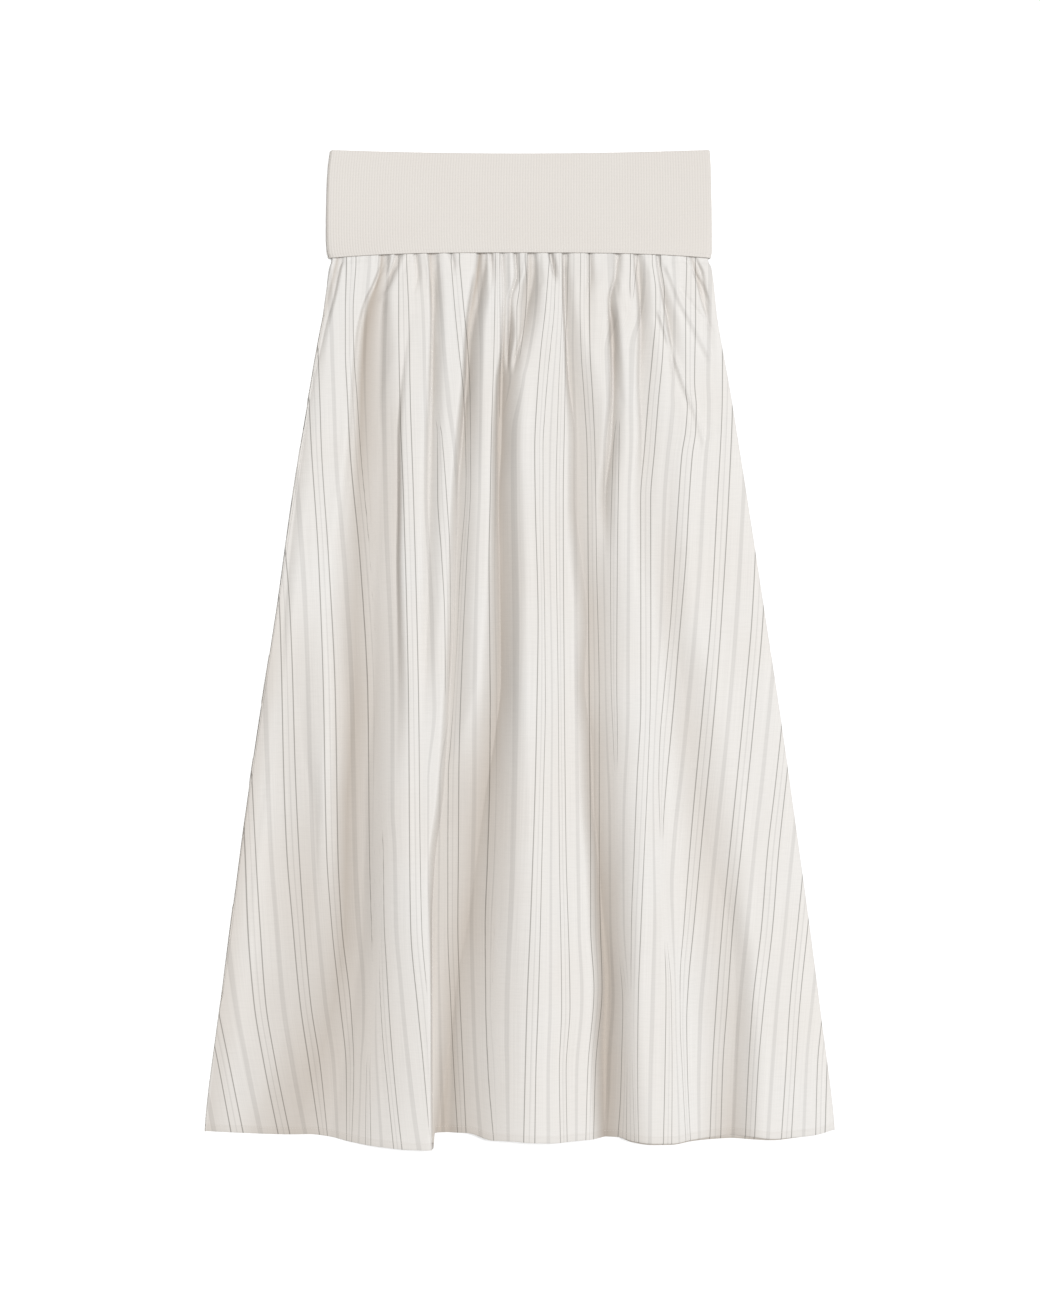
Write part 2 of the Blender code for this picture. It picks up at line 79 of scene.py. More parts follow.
# Rows of the tables
Side = namedtuple("Side", "down left right")
Band = namedtuple("Band", "up left right thickness")
Crest = namedtuple("Crest", "down far_left left middle right far_right")
Station = namedtuple("Station", "down x depth left right soft")
Stripe = namedtuple("Stripe", "down left right")
Crease = namedtuple("Crease", "points height width")
Tuck = namedtuple("Tuck", "starts hides reach")

# All that the tables give at one level, and one spot of cloth: its place, its place on the flat cloth, and
# how much it has of the stripes and of the shade painted deep in the folds
Level = namedtuple("Level", "down left right folds crests stripes")
Spot = namedtuple("Spot", "place flat shown depth")

# Side edges of the laid skirt
SIDES = [
    Side(-10, -168.4, 168.4),
    Side(3, -168.8, 169.6),
    Side(8, -170.4, 172.2),
    Side(56, -177.4, 177.8),
    Side(126, -189.0, 189.7),
    Side(216, -203.1, 204.0),
    Side(316, -218.1, 219.3),
    Side(416, -233.5, 234.5),
    Side(516, -248.4, 248.5),
    Side(616, -261.2, 262.2),
    Side(696, -272.4, 272.5),
    Side(771, -281.9, 281.8),
    Side(790, -283.4, 283.4),
]

# Side folds of the waistband's outer layer, and how thick the folded tube is there
BAND_SIDES = [
    Band(0, -171.2, 171.8, 7.4),
    Band(6, -173.0, 173.0, 7.2),
    Band(20, -173.8, 173.0, 6.8),
    Band(60, -173.2, 172.4, 6.2),
    Band(88, -171.2, 171.6, 6.2),
    Band(94, -169.8, 170.8, 6.2),
]

# Height of the front panel's crests above the surface, at five places across it
CREST_PLACES = (0.08, 0.3, 0.5, 0.7, 0.92)
CRESTS = [
    Crest(0, 9.5, 10.8, 11.0, 10.8, 9.5),
    Crest(40, 9.5, 14.5, 15.5, 15.0, 9.8),
    Crest(120, 9.0, 16.0, 18.5, 17.0, 9.8),
    Crest(300, 8.0, 17.0, 21.0, 18.0, 10.0),
    Crest(450, 7.5, 18.5, 23.0, 20.0, 11.0),
    Crest(600, 7.0, 20.0, 24.5, 21.5, 12.0),
    Crest(790, 6.5, 19.0, 24.5, 21.5, 12.5),
]


def fold_rows(*rows):
    return [Station(*row) for row in rows]


def stripe_rows(*rows):
    return [Stripe(*row) for row in rows]


# Folds of the front panel, from left to right. Each is a trough, given at levels down the skirt as
# (down, x, depth, left, right, soft): how deep it is, how far its two slopes reach, and how soft its
# bottom is, from 0 for a sharp crease to 1 for a rounded trough.
FOLDS = {
    "left_corner_tuck": fold_rows(
        (0, -163.5, 14, 3, 6, 0), (14, -167, 15, 3, 7, 0), (36, -172, 13, 4, 8, 0),
        (60, -177.5, 8, 4, 8, 0), (120, -188, 2, 4, 12, 0.4), (216, -204, 3, 4, 14, 0.5),
        (330, -220, 6, 4, 16, 0.5), (438, -237, 10, 4, 18, 0.5), (546, -252, 10, 4, 18, 0.5),
        (654, -266, 9, 4, 22, 0.5), (789, -281, 9, 4, 26, 0.5),
    ),
    "left_side_fold": fold_rows(
        (0, -138, 0, 4, 6, 0), (36, -155, 0, 4, 6, 0), (300, -196, 0, 20, 20, 0.7),
        (384, -202, 4, 44, 36, 0.8), (438, -200, 5.5, 50, 32, 0.8), (492, -192, 8, 60, 26, 0.7),
        (546, -190, 10, 66, 28, 0.7), (600, -188, 11, 76, 30, 0.6), (654, -196, 11, 80, 34, 0.6),
        (708, -210, 9, 80, 40, 0.6), (789, -240, 7, 60, 40, 0.6),
    ),
    "left_valley": fold_rows(
        (0, -124, 17, 3, 9, 0), (12, -125, 19, 3, 11, 0), (24, -128, 21, 4, 14, 0),
        (42, -134, 25, 7, 20, 0), (69, -139, 24, 9, 28, 0), (114, -142, 22, 11, 36, 0.1),
        (168, -143, 19, 14, 38, 0.3), (222, -145, 15, 20, 42, 0.5), (276, -146, 15, 28, 44, 0.5),
        (330, -148, 16, 30, 48, 0.5), (384, -148, 18, 28, 52, 0.4), (438, -151, 19.5, 24, 54, 0.3),
        (492, -155, 20, 24, 58, 0.2), (546, -156, 20.5, 26, 60, 0.2), (600, -157, 20, 28, 66, 0.2),
        (654, -164, 17.5, 34, 82, 0.3), (708, -176, 16, 44, 104, 0.4), (753, -192, 15.5, 50, 124, 0.5),
        (789, -204, 15, 50, 134, 0.5),
    ),
    "left_gather": fold_rows(
        (0, -110, 9, 3, 7, 0), (10, -113, 10, 3, 7, 0), (20, -117, 9, 3, 7, 0), (36, -121, 0, 3, 6, 0),
        (402, -128, 0, 4, 6, 0), (789, -172, 0, 4, 6, 0),
    ),
    "left_overlap": fold_rows(
        (0, -94, 4, 3, 5, 0), (19, -92, 3, 3, 5, 0), (40, -95, 0, 4, 6, 0), (114, -106, 3, 14, 5, 0),
        (168, -110, 8, 26, 5, 0), (222, -110, 10, 28, 5, 0), (276, -111, 9.5, 28, 6, 0),
        (330, -110, 7, 28, 7, 0.2), (410, -109, 3, 24, 10, 0.3), (500, -112, 0, 20, 10, 0.3),
        (789, -142, 0, 4, 10, 0),
    ),
    "second_gather": fold_rows(
        (0, -81, 16, 2.5, 9, 0), (19, -79.5, 14, 2.5, 11, 0), (60, -78.5, 12, 2.5, 12, 0),
        (114, -79, 10.5, 4, 12, 0), (168, -80, 7.5, 7, 13, 0.2), (222, -81, 6.5, 8, 13, 0.3),
        (276, -82, 6, 8, 13, 0.3), (330, -83, 4.5, 8, 12, 0.4), (400, -85, 1, 8, 10, 0.5),
        (440, -86, 0, 8, 10, 0.5), (789, -112, 0, 10, 10, 0),
    ),
    "small_gather": fold_rows(
        (0, -62, 5, 3, 4, 0), (10, -60, 3, 3, 4, 0), (22, -60, 0, 3, 4, 0), (402, -73, 0, 4, 6, 0),
        (789, -95, 0, 4, 6, 0),
    ),
    "centre_left_valley": fold_rows(
        (0, -36, 20, 3, 9, 0), (19, -38, 23, 4, 11, 0), (42, -42, 20, 5, 15, 0),
        (69, -46, 17, 4, 16, 0), (114, -48, 16, 5, 16, 0), (168, -52, 13.5, 7, 20, 0.2),
        (222, -56, 10.5, 7, 22, 0.3), (276, -57.5, 10, 8, 22, 0.4), (330, -59, 9.5, 8, 22, 0.4),
        (384, -62, 10, 7, 26, 0.4), (438, -65, 10, 7, 28, 0.4), (492, -69, 10, 7, 26, 0.4),
        (546, -76, 9.5, 7, 28, 0.2), (600, -78.5, 11, 3, 28, 0), (654, -78.5, 12, 1.6, 26, 0),
        (789, -77.8, 12, 1.3, 24, 0),
    ),
    "twin_gather": fold_rows(
        (0, -26, 5, 3, 4, 0), (20, -25, 2, 4, 5, 0), (40, -27, 0, 4, 5, 0), (402, -40, 0, 5, 8, 0),
        (546, -60, 0, 5, 8, 0), (789, -75.5, 0, 3, 5, 0),
    ),
    "centre_crease": fold_rows(
        (0, -16, 4, 3, 6, 0), (36, -14, 4, 3, 8, 0), (60, -14.5, 7, 3, 11, 0), (84, -15, 12, 3, 16, 0),
        (114, -17.5, 18.5, 5, 22, 0), (168, -18.5, 19, 8, 22, 0.1), (222, -19, 17, 9, 25, 0.2),
        (276, -18, 17, 12, 26, 0.3), (384, -17, 18.5, 22, 24, 0.3), (438, -23, 18, 34, 32, 0.3),
        (492, -32, 18, 44, 42, 0.4), (546, -39, 18, 44, 52, 0.4), (600, -47, 18.5, 36, 64, 0.4),
        (654, -57, 17.5, 24, 80, 0.4), (789, -69, 17.5, 12, 88, 0.4),
    ),
    "pinch_left": fold_rows(
        (0, -4, 5, 3, 5, 0), (19, -3, 5, 3, 5, 0), (42, -8, 5, 4, 8, 0), (69, -9, 7, 4, 9, 0),
        (95, -11, 3, 3, 6, 0), (112, -11, 0, 4, 6, 0), (402, -6, 0, 5, 8, 0), (789, -20, 0, 5, 8, 0),
    ),
    "pinch_right": fold_rows(
        (0, 9, 12, 3, 8, 0), (19, 9.5, 14, 6, 12, 0), (42, 7.5, 12.5, 15, 14, 0.2),
        (69, 3, 9, 8, 16, 0), (95, -4, 5, 4, 16, 0), (112, -6, 0, 5, 12, 0), (402, 18, 0, 5, 8, 0),
        (789, 22, 0, 5, 8, 0),
    ),
    "third_gather": fold_rows(
        (0, 27, 7, 2.5, 5, 0), (14, 30, 6, 2.5, 5, 0), (30, 32, 0, 3, 5, 0), (402, 36, 0, 4, 6, 0),
        (789, 44, 0, 4, 6, 0),
    ),
    "right_valley": fold_rows(
        (0, 39.5, 8, 2.5, 8, 0), (42, 40, 8.5, 2.5, 11, 0), (69, 41.5, 9, 3, 16, 0),
        (114, 44, 11, 4, 30, 0.1), (168, 50, 10.5, 9, 42, 0.4), (222, 50, 10.5, 9, 44, 0.4),
        (276, 56, 12.5, 13, 44, 0.4), (330, 61, 14, 13, 44, 0.3), (384, 59, 14, 11, 45, 0.3),
        (438, 64, 16, 14, 44, 0.2), (492, 66, 17, 14, 44, 0.2), (546, 71, 19.5, 14, 40, 0.2),
        (600, 74, 21, 14, 38, 0.2), (654, 77.5, 22, 14, 33, 0.1), (708, 76, 21.5, 15, 36, 0.2),
        (789, 77, 20.5, 14, 43, 0.2),
    ),
    "fourth_gather": fold_rows(
        (0, 62, 6, 2.5, 6, 0), (19, 63, 6.5, 3, 8, 0), (40, 61, 3.5, 3, 10, 0), (62, 61, 2, 4, 10, 0),
        (120, 62, 0, 4, 6, 0), (300, 70, 0, 4, 6, 0), (402, 76, 0, 4, 6, 0), (789, 95, 0, 4, 6, 0),
    ),
    "right_leaning_crease": fold_rows(
        (0, 87, 7, 3, 7, 0), (19, 86, 6, 3, 8, 0), (42, 81, 8.5, 3, 9, 0), (69, 82.5, 17, 4, 9, 0),
        (114, 84, 12, 5, 11, 0), (168, 82, 9, 8, 13, 0), (222, 76, 7.5, 8, 14, 0.1),
        (276, 77, 1, 12, 14, 0.3), (320, 78, 0, 10, 12, 0.2), (402, 84, 0, 8, 10, 0),
        (789, 104, 0, 8, 10, 0),
    ),
    "fifth_gather": fold_rows(
        (0, 104, 6, 3, 8, 0), (19, 106, 10, 4, 12, 0), (42, 108, 10.5, 4, 12, 0),
        (69, 109, 8, 5, 13, 0), (114, 108, 7, 5, 24, 0.1), (168, 110, 6, 6, 30, 0.3),
        (222, 110, 5, 10, 34, 0.4), (276, 112, 3, 10, 24, 0.4), (330, 114, 0, 8, 14, 0),
        (402, 116, 0, 7, 10, 0), (789, 136, 0, 7, 10, 0),
    ),
    "right_shelf_valley": fold_rows(
        (0, 124, 4, 3, 4, 0), (19, 126, 4, 3, 6, 0), (42, 130, 7, 3, 11, 0), (69, 135, 6.5, 4, 12, 0),
        (100, 138, 3, 5, 12, 0.2), (140, 139, 1, 12, 14, 0.5), (222, 134, 3, 14, 20, 0.5),
        (276, 132, 6, 16, 22, 0.5), (330, 134, 6, 16, 26, 0.5), (384, 146, 6.5, 22, 30, 0.5),
        (438, 152, 7, 24, 36, 0.5), (492, 160, 7.5, 28, 40, 0.6), (546, 172, 8, 36, 36, 0.7),
        (600, 188, 8, 54, 20, 0.7), (654, 194, 9, 58, 20, 0.6), (708, 194, 11, 46, 24, 0.4),
        (789, 190, 13.5, 36, 30, 0.4),
    ),
    "right_corner_tuck": fold_rows(
        (0, 154, 9, 3, 6, 0), (15, 159, 13, 3, 8, 0), (40, 165, 7, 3, 6, 0), (60, 170, 2, 4, 6, 0),
        (132, 176, 0, 4, 6, 0), (402, 208, 0, 4, 6, 0), (789, 242, 0, 4, 6, 0),
    ),
}

# How far the front hem hangs below SKIRT_LENGTH, from left to right as (x, hang)
FRONT_HEM = [
    (-283, 0.0), (-241, 2.0), (-205, 3.0), (-189, 2.8), (-171, 4.8), (-153, 8.8), (-126, 13.0),
    (-97, 15.2), (-77.6, 15.4), (-76.2, 1.4), (-49, 0.8), (-43, 1.4), (-25, 6.8), (-7, 7.2),
    (11, 8.3), (29, 8.5), (47, 6.8), (65, 5.3), (83, 4.7), (90, 4.6), (94, 5.9), (101, 7.5),
    (119, 9.3), (137, 9.2), (155, 5.8), (173, 3.9), (191, 3.3), (209, 4.2), (227, 6.0), (245, 4.8),
    (263, 3.2), (283, -1.7),
]
# The back hem lies a little higher on the left and shows below the front hem on the right
BACK_HEM = [
    (-283, -2.5), (-78, -1.5), (-31, -0.5), (23, 5.0), (72, 3.6), (89, 5.2), (101, 9.6), (119, 12.0),
    (137, 11.8), (155, 8.5), (173, 6.9), (191, 6.3), (209, 7.2), (227, 8.0), (245, 6.2), (259, 4.0),
    (283, -3.0),
]
HEM_WAVE_FROM = 560.0   # the hem's waves begin at this level

# Soft ridges that cross the folds, and creases, with a height below 0: points on the cloth as (x, down),
# then the height and the half width
CREASES = [
    Crease([(125, 53), (133, 76), (147, 116), (158, 143), (167, 174)], 2.4, 1.7),
    Crease([(122, 57), (130, 79), (143, 118), (155, 147)], -0.8, 2.4),
    Crease([(133, 12), (146, 44), (158, 66), (172, 94)], 1.7, 1.9),
    Crease([(129, 12), (141, 44), (153, 68), (166, 94)], -1.2, 2.2),
    Crease([(144, 30), (159, 50), (173, 66), (180, 76)], -1.6, 1.9),
    Crease([(150, 4), (161, 21), (172, 44), (179, 68)], -1.8, 1.9),
    Crease([(153, 3), (165, 22), (175, 44)], 1.0, 1.8),
    Crease([(158, 3), (163, 12)], -1.4, 1.6),
    Crease([(166, 161), (178, 154), (190, 150)], -1.0, 1.9),
    Crease([(170, 165), (190, 155)], 0.7, 1.9),
    Crease([(88, 19), (98, 53)], 0.9, 2.4),
    Crease([(-121, 4), (-125, 14), (-131, 28)], -1.6, 1.8),
    Crease([(-108, 4), (-116, 22), (-124, 40)], 1.3, 2.4),
    Crease([(-160, 5), (-168, 16), (-172, 24)], -1.2, 1.9),
    Crease([(-100, 2), (-104, 16)], -1.2, 1.6),
    Crease([(-84, 2), (-80, 30), (-77, 80)], 1.0, 1.8),
    Crease([(-70, 2), (-66, 18)], -1.0, 1.7),
    Crease([(6, 4), (2, 40)], 0.9, 2.0),
    Crease([(18, 2), (20, 26)], -1.1, 1.7),
    Crease([(50, 2), (51, 22)], -1.0, 1.7),
    Crease([(73, 2), (72, 24)], -1.0, 1.7),
    Crease([(90, 125), (93, 139)], -0.8, 1.7),
]

# Places of the pairs of stripes on the front, from left to right, given at levels down the skirt as
# (down, left, right): the two stripes of the pair. Where they come together, the pair runs into a fold.
STRIPES = {
    "far_left_hem": stripe_rows(
        (402, -323.5, -314), (672, -282.5, -272.5), (726, -271.5, -261.5), (792, -259, -248),
    ),
    "left_hem": stripe_rows(
        (8, -278.5, -268), (402, -255.5, -244.5), (537, -247, -237.5), (604, -244.5, -233.5),
        (672, -239, -228.5), (726, -230, -219.5), (792, -216.5, -206),
    ),
    "left_lower": stripe_rows(
        (8, -242.5, -232), (222, -224.5, -215), (330, -215.5, -206), (474, -212, -201.5),
        (537, -209.5, -198.5), (604, -204, -194), (672, -197.5, -188), (726, -189.5, -179.5),
        (792, -179.5, -172.5),
    ),
    "left_middle": stripe_rows(
        (8, -197.5, -188), (87, -192.5, -181.5), (132, -189.5, -179.5), (177, -187, -178),
        (276, -180.5, -171.5), (402, -176, -165.5), (537, -173.5, -163.5), (604, -169, -160),
        (672, -161.5, -152), (726, -156, -149), (792, -155.5, -151),
    ),
    "left_top": stripe_rows(
        (8, -155.5, -147), (51, -156.5, -149.5), (87, -156.5, -149), (132, -154.5, -146),
        (177, -152.5, -143), (276, -143.5, -134), (402, -136.5, -127.5), (537, -135, -129.8),
        (605, -133, -129.5), (640, -132, -130.5), (690, -134, -133), (726, -137.5, -134.5),
        (792, -138.5, -133.5),
    ),
    "left_tuck": stripe_rows(
        (8, -126.5, -125), (132, -134, -132), (222, -132, -131), (402, -125.5, -124),
        (500, -125.5, -124), (537, -126, -122.5), (599, -126, -121.6), (635, -126, -119.5),
        (688, -123.5, -116), (741, -118, -111), (792, -112.5, -105),
    ),
    "first_crest": stripe_rows(
        (8, -108.5, -101.5), (51, -108.5, -99.5), (132, -107.5, -98), (222, -104, -95),
        (402, -99.5, -90.5), (537, -98.5, -89), (604, -97.5, -87.5), (672, -91, -81.5),
        (708, -87, -79.5), (792, -79, -78),
    ),
    "second_tuck": stripe_rows(
        (8, -82, -81), (69, -78, -77), (132, -76, -74.5), (168, -73.5, -69.5), (217, -73.5, -65.5),
        (271, -70, -62.5), (330, -67, -62), (402, -66.5, -64.5), (474, -77, -76), (708, -78.5, -78),
        (792, -78, -77),
    ),
    "third_crest": stripe_rows(
        (8, -61.5, -54), (51, -58, -50), (87, -54.5, -46.5), (132, -50, -44.5), (202, -48, -44),
        (277, -53, -47.5), (351, -56.5, -51), (440, -62, -54), (468, -64, -54.5), (546, -64.5, -55),
        (604, -64.5, -55.5), (672, -62, -53.5), (726, -59.5, -51), (792, -55.5, -48),
    ),
    "centre_left": stripe_rows(
        (8, -21.5, -18), (87, -23, -17.5), (168, -25.5, -18.5), (222, -26.5, -19), (276, -27.5, -19),
        (402, -26.5, -17.5), (474, -27, -17.5), (546, -29, -19), (604, -31, -22), (672, -30.5, -23.5),
        (726, -28.5, -20), (792, -23, -18.5),
    ),
    "centre_pinch": stripe_rows(
        (8, -0.5, 5), (28, 0, 6.5), (51, -2.5, 5.5), (87, -2.5, 1), (107, -3, -2.5), (168, -17.5, -17),
        (276, -18, -17.5), (402, -16.5, -16), (546, -18, -17.5), (672, -22.5, -22), (792, -17.5, -17.5),
    ),
    "centre": stripe_rows(
        (8, 26.5, 32.5), (51, 23, 31), (87, 19, 27.5), (132, 15.5, 23.5), (177, 13.5, 21),
        (222, 14, 21), (330, 16.5, 22.5), (402, 15.5, 23), (474, 14, 21.5), (537, 12, 20),
        (604, 9.5, 18.5), (672, 6.5, 16.5), (726, 5, 14.5), (792, 3.5, 13.5),
    ),
    "centre_right": stripe_rows(
        (8, 39, 43.5), (51, 38, 42.5), (87, 36.5, 41), (132, 34.5, 40.5), (222, 32.5, 39),
        (402, 34.5, 40), (537, 35.5, 41.5), (672, 37.5, 45), (726, 35.5, 41.5), (792, 36.5, 42.5),
    ),
    "right_of_valley": stripe_rows(
        (8, 54.5, 62.5), (51, 54, 62.5), (87, 55, 63), (132, 58, 65.5), (177, 60.5, 67.5),
        (276, 61.5, 69), (402, 62.5, 71.5), (537, 63.5, 71.5), (604, 63.5, 72.5), (658, 66.5, 74),
        (726, 61, 68), (792, 59, 66),
    ),
    "hip_tuck": stripe_rows(
        (8, 99.5, 105.5), (28, 99, 103), (52, 99.5, 100), (87, 87.5, 88.5), (132, 88.5, 89.5),
        (177, 84, 89), (276, 81.5, 87.5), (384, 82, 87), (438, 84, 87.5), (492, 86, 87),
        (604, 87.5, 89), (672, 92.5, 96), (716, 91.5, 96.5), (753, 90.5, 96), (792, 88, 95.5),
    ),
    "hip": stripe_rows(
        (8, 119, 126.5), (33, 122, 130), (55, 122, 129.5), (87, 119.5, 128.5), (132, 115.5, 124.5),
        (177, 112, 121), (222, 108.5, 117.5), (330, 108.5, 117.5), (402, 108.5, 117), (474, 105, 114.5),
        (537, 102.5, 111.5), (604, 100, 108.5), (672, 99.5, 106), (726, 101, 105.5), (792, 103, 106.5),
    ),
    "right_top": stripe_rows(
        (8, 150, 158), (51, 149, 158), (114, 149, 157), (125, 149, 157.5), (136, 150.5, 158.5),
        (159, 149, 158), (181, 145.5, 155), (222, 142.5, 152), (276, 139, 149), (330, 135.5, 144.5),
        (402, 128.5, 138.5), (438, 125.5, 135), (474, 124.5, 131.5), (514, 125.5, 128.5),
        (555, 126.5, 127.5), (604, 129, 130.5), (655, 131, 135.5), (726, 130, 136.5), (792, 128.5, 136),
    ),
    "right_middle": stripe_rows(
        (8, 185.5, 195.5), (84, 182.5, 192.5), (132, 182, 191.5), (222, 177.5, 187.5),
        (330, 171.5, 181), (402, 165, 175.5), (537, 152.5, 162.5), (604, 147, 156), (648, 143.5, 151.5),
        (685, 143.5, 149.5), (726, 145.5, 150), (792, 149, 153),
    ),
    "right_side": stripe_rows(
        (8, 230, 239.5), (132, 221.5, 231.5), (222, 214.5, 224.5), (330, 208.5, 218.5), (402, 202, 212),
        (537, 188.5, 198.5), (604, 182, 191.5), (672, 176.5, 186.5), (726, 173, 182.5),
        (792, 170.5, 180.5),
    ),
    "right_lower": stripe_rows(
        (8, 279.5, 289), (402, 238, 248), (474, 230, 239.5), (537, 222.5, 232.5), (604, 217, 227),
        (672, 209, 219), (726, 205.5, 214), (792, 202.5, 210.5),
    ),
    "right_hem": stripe_rows(
        (8, 329, 338.5), (537, 257, 266.5), (604, 249.5, 259), (672, 242.5, 251.5), (726, 239, 247.5),
        (792, 234.5, 243.5),
    ),
    "far_right_hem": stripe_rows(
        (8, 369.5, 379), (672, 274, 283.5), (726, 267.5, 276.5), (792, 265.5, 274),
    ),
}

# How the panels lie
EDGE_ROLL = 5.0         # radius of the panel's rounded side edge
EDGE_ROLL_SHARE = 0.3   # of the rise from the side edge to the crests
EDGE_SOFTNESS = 18.0    # the rest of the rise takes about this width
FOLD_SHARPNESS = 1.5    # above 1, the slopes of a fold get steeper towards its crease
EDGE_CALM = 12.0        # creases and ripples die out this near the side edges
SEAM_CALM = (-6.0, 8.0)     # and begin at this level under the band, over this length
CREASE_REACH = 3        # a crease counts within this many half widths of it
DROOP_FADE = 120.0      # the cloth follows the band's drooping edge down to this level
UNDER_BAND = 1.5 * GAP  # room between the front panel and the band's outer layer
GATHER_HEIGHT = 1.8     # the back's gathers lift the front by this much at the band
GATHER_FADE = 110.0     # and no more from this level on
GATHER_HALF_WIDTH = 165.0
GATHER_SQUARENESS = 6   # the lift is even across the middle, and falls away near both ends
BACK_SHARE = 0.3        # height of the back's folds, as a share of the front's
BACK_EDGE = 25.0        # the back's folds die out this near its side edges
BACK_LIFT = RIB_CLOTH_THICKNESS + GAP   # at its top the back panel lies on the band's back layer
BACK_LIFT_DOWN = (6.0, 12.0)    # and it comes down to the floor from this level, over this length

# Fine unevenness of the cloth, as (size across, size down the skirt, slice of the noise)
LONG_RIPPLES = (16, 110, 3.0)
SHORT_RIPPLES = (7, 60, 9.0)
SHORT_RIPPLE_SHARE = 0.5
RIPPLE = 0.28           # height of the ripples
PUCKERS = (3.2, 45, 5.0)
PUCKER = 0.9            # height of the puckers at the waist seam
PUCKER_FADE = 20        # they fade over about this length

# How the panels are drawn
FRONT_PITCH = 2.55      # mm between the front panel's columns, about
BACK_PITCH = 3.6
COLUMN_CROWDING = 0.45  # from 0 for even columns to 1 for columns that crowd towards the folds
# Steps between the rows, as (down to this level, size in column pitches), and the rows along the hem
ROW_STEPS = ((0.0, 1.3), (60.0, 0.82), (170.0, 1.4), (HEM_FROM - 3, 2.6))
HEM_ROWS = (HEM_FROM - 0.8, HEM_FROM + 0.4, SKIRT_LENGTH - 3, SKIRT_LENGTH - HEM_BEND)
HEM_END_ROW = -3        # the turned edge ends at this one, the third from the last
STRIPE_APART = 0.05     # stripes that meet in a fold stay this far apart

# Cloth taken up more than `starts` times shows its stripes less, and past `hides` not at all, within
# TUCK_CORE of the place. They show in full from `reach` on.
PAIR_TUCK = Tuck(3.2, 5.2, 4.0)     # for the cloth between a pair's two stripes
GAP_TUCK = Tuck(5.0, 8.0, 2.6)      # for the cloth between two pairs
TUCK_CORE = 1.5

# How much painted shade the cloth takes: darker deep in the folds and at the hems
DEEP_FOLD = 22.0        # all of it at this depth below the crests
HEM_PAINTED_SHADE = 0.09         # a little painted shade over the front's turned hem
BACK_HEM_PAINTED_SHADE = 0.9     # most of it at the back hem: painted shade under the front hem
BACK_HEM_SHADE_WIDTH = 3    # and that shade sets in over this width

# How the band is drawn
BAND_CROWN = 13.0       # height of the band's lower edge over the gathers
BAND_CROWN_FADE = 40.0  # the band comes down from that height over this width
BAND_UNEVEN = 0.35      # height of its faint dents
BAND_UNEVEN_SIZE = (40, 30, 1.0)
FRONT_RIBS = 140        # and as many at the back
SIDE_RIBS = 4           # round each side fold
RIB_STEPS = 6           # places across each rib
KNIT_ROW = 1.3          # mm between rows of knitted stitches
# Steps across the knit, as (up, inset, ribbed): the finished lower edge with the groove above it
BAND_EDGE_STEPS = [
    (0.35, 0.6, 0.0), (0.0, 0.3, 0.3), (0.35, 0.05, 0.6), (0.9, -0.12, 0.8), (1.7, -0.12, 0.8),
    (2.3, 0.05, 0.8), (2.7, 0.3, 0.8), (3.1, 0.05, 1.0),
]
BAND_OUTSIDE = (4.0, 7.0, 12.0, 20.0, 30.0, 42.0, 55.0, 68.0, 80.0)     # steps up the rest of the outside

# Hem stitches
STITCH_PITCH = 2.4
STITCH_SHARE = 0.7      # of the pitch, taken up by each stitch
STITCH_RADIUS = 0.14
STITCH_PROUD = 0.05     # the middle of each stitch stands this far out of the cloth
STITCH_DOWN = HEM_FROM + 0.9    # level of the row of stitches, just inside the turned edge
STITCH_MARGIN = 6.0     # the row stops this far from the side edges

# Colours, as linear light. Each finish drifts softly between its two.
CLOTH_WARM = (0.727, 0.701, 0.671)
CLOTH_COOL = (0.737, 0.721, 0.700)
KNIT_WARM = (0.68, 0.645, 0.61)
KNIT_COOL = (0.685, 0.655, 0.62)
THREAD_DARK = (0.60, 0.58, 0.54)
THREAD_LIGHT = (0.74, 0.72, 0.68)
FLOOR_DARK = 0.93
FLOOR_LIGHT = 0.95

# Shares of the cloth's own colour that are left on the stripes, and where shade is painted deep in a fold
PINSTRIPE = (0.51, 0.505, 0.495)
FINE_STRIPE = 0.88
SOFT_BAND = 0.88
PAINTED_SHADE_COLOUR = (0.625, 0.572, 0.522)   # painted shade, darker and warmer deep in the folds

# The stripes' soft edges: full up to the first distance from their middle, and gone at the second
PINSTRIPE_EDGE = (0.32, 0.68)
FINE_STRIPE_EDGE = (0.35, 0.75)
SOFT_BAND_EDGE = (18.7, 18.0)   # the band between two pairs, as distances from the middle of a pair

# Yarns in the flat cloth: about how many to the metre across it and down it
STREAKS = (1100.0, 9.0, 1.0)
SLUBS = (60.0, 900.0, 1.0)
WAVE_LENGTH = math.tau / 20     # of the wave texture, at a scale of 1

# Light, floor and camera, in metres and degrees
LAMP_LEAN = 13.0        # of the large lamp, from straight above towards the right
LAMP_TURN = 15.0        # of its side, from the right towards the waist
LAMP_SPREAD = 20.0
LAMP_STRENGTH = 2.95
LAMP_COLOUR = (0.975, 1.0, 1.025)
STUDIO_COLOUR = (1.0, 0.91, 0.81)
STUDIO_LIGHT = 0.30
FLOOR_HALF_WIDTH = 30.0
SENSOR = 36.0           # width of the camera's sensor, in millimetres
CAMERA_HEIGHT = 3.5
CAMERA_REACH = 20.0     # how far the camera sees
PICTURE_HEIGHT = 1.17       # of floor, from the bottom to the top of the picture
PICTURE_MIDDLE_X = 0.0003
PICTURE_MIDDLE_Y = 0.0003


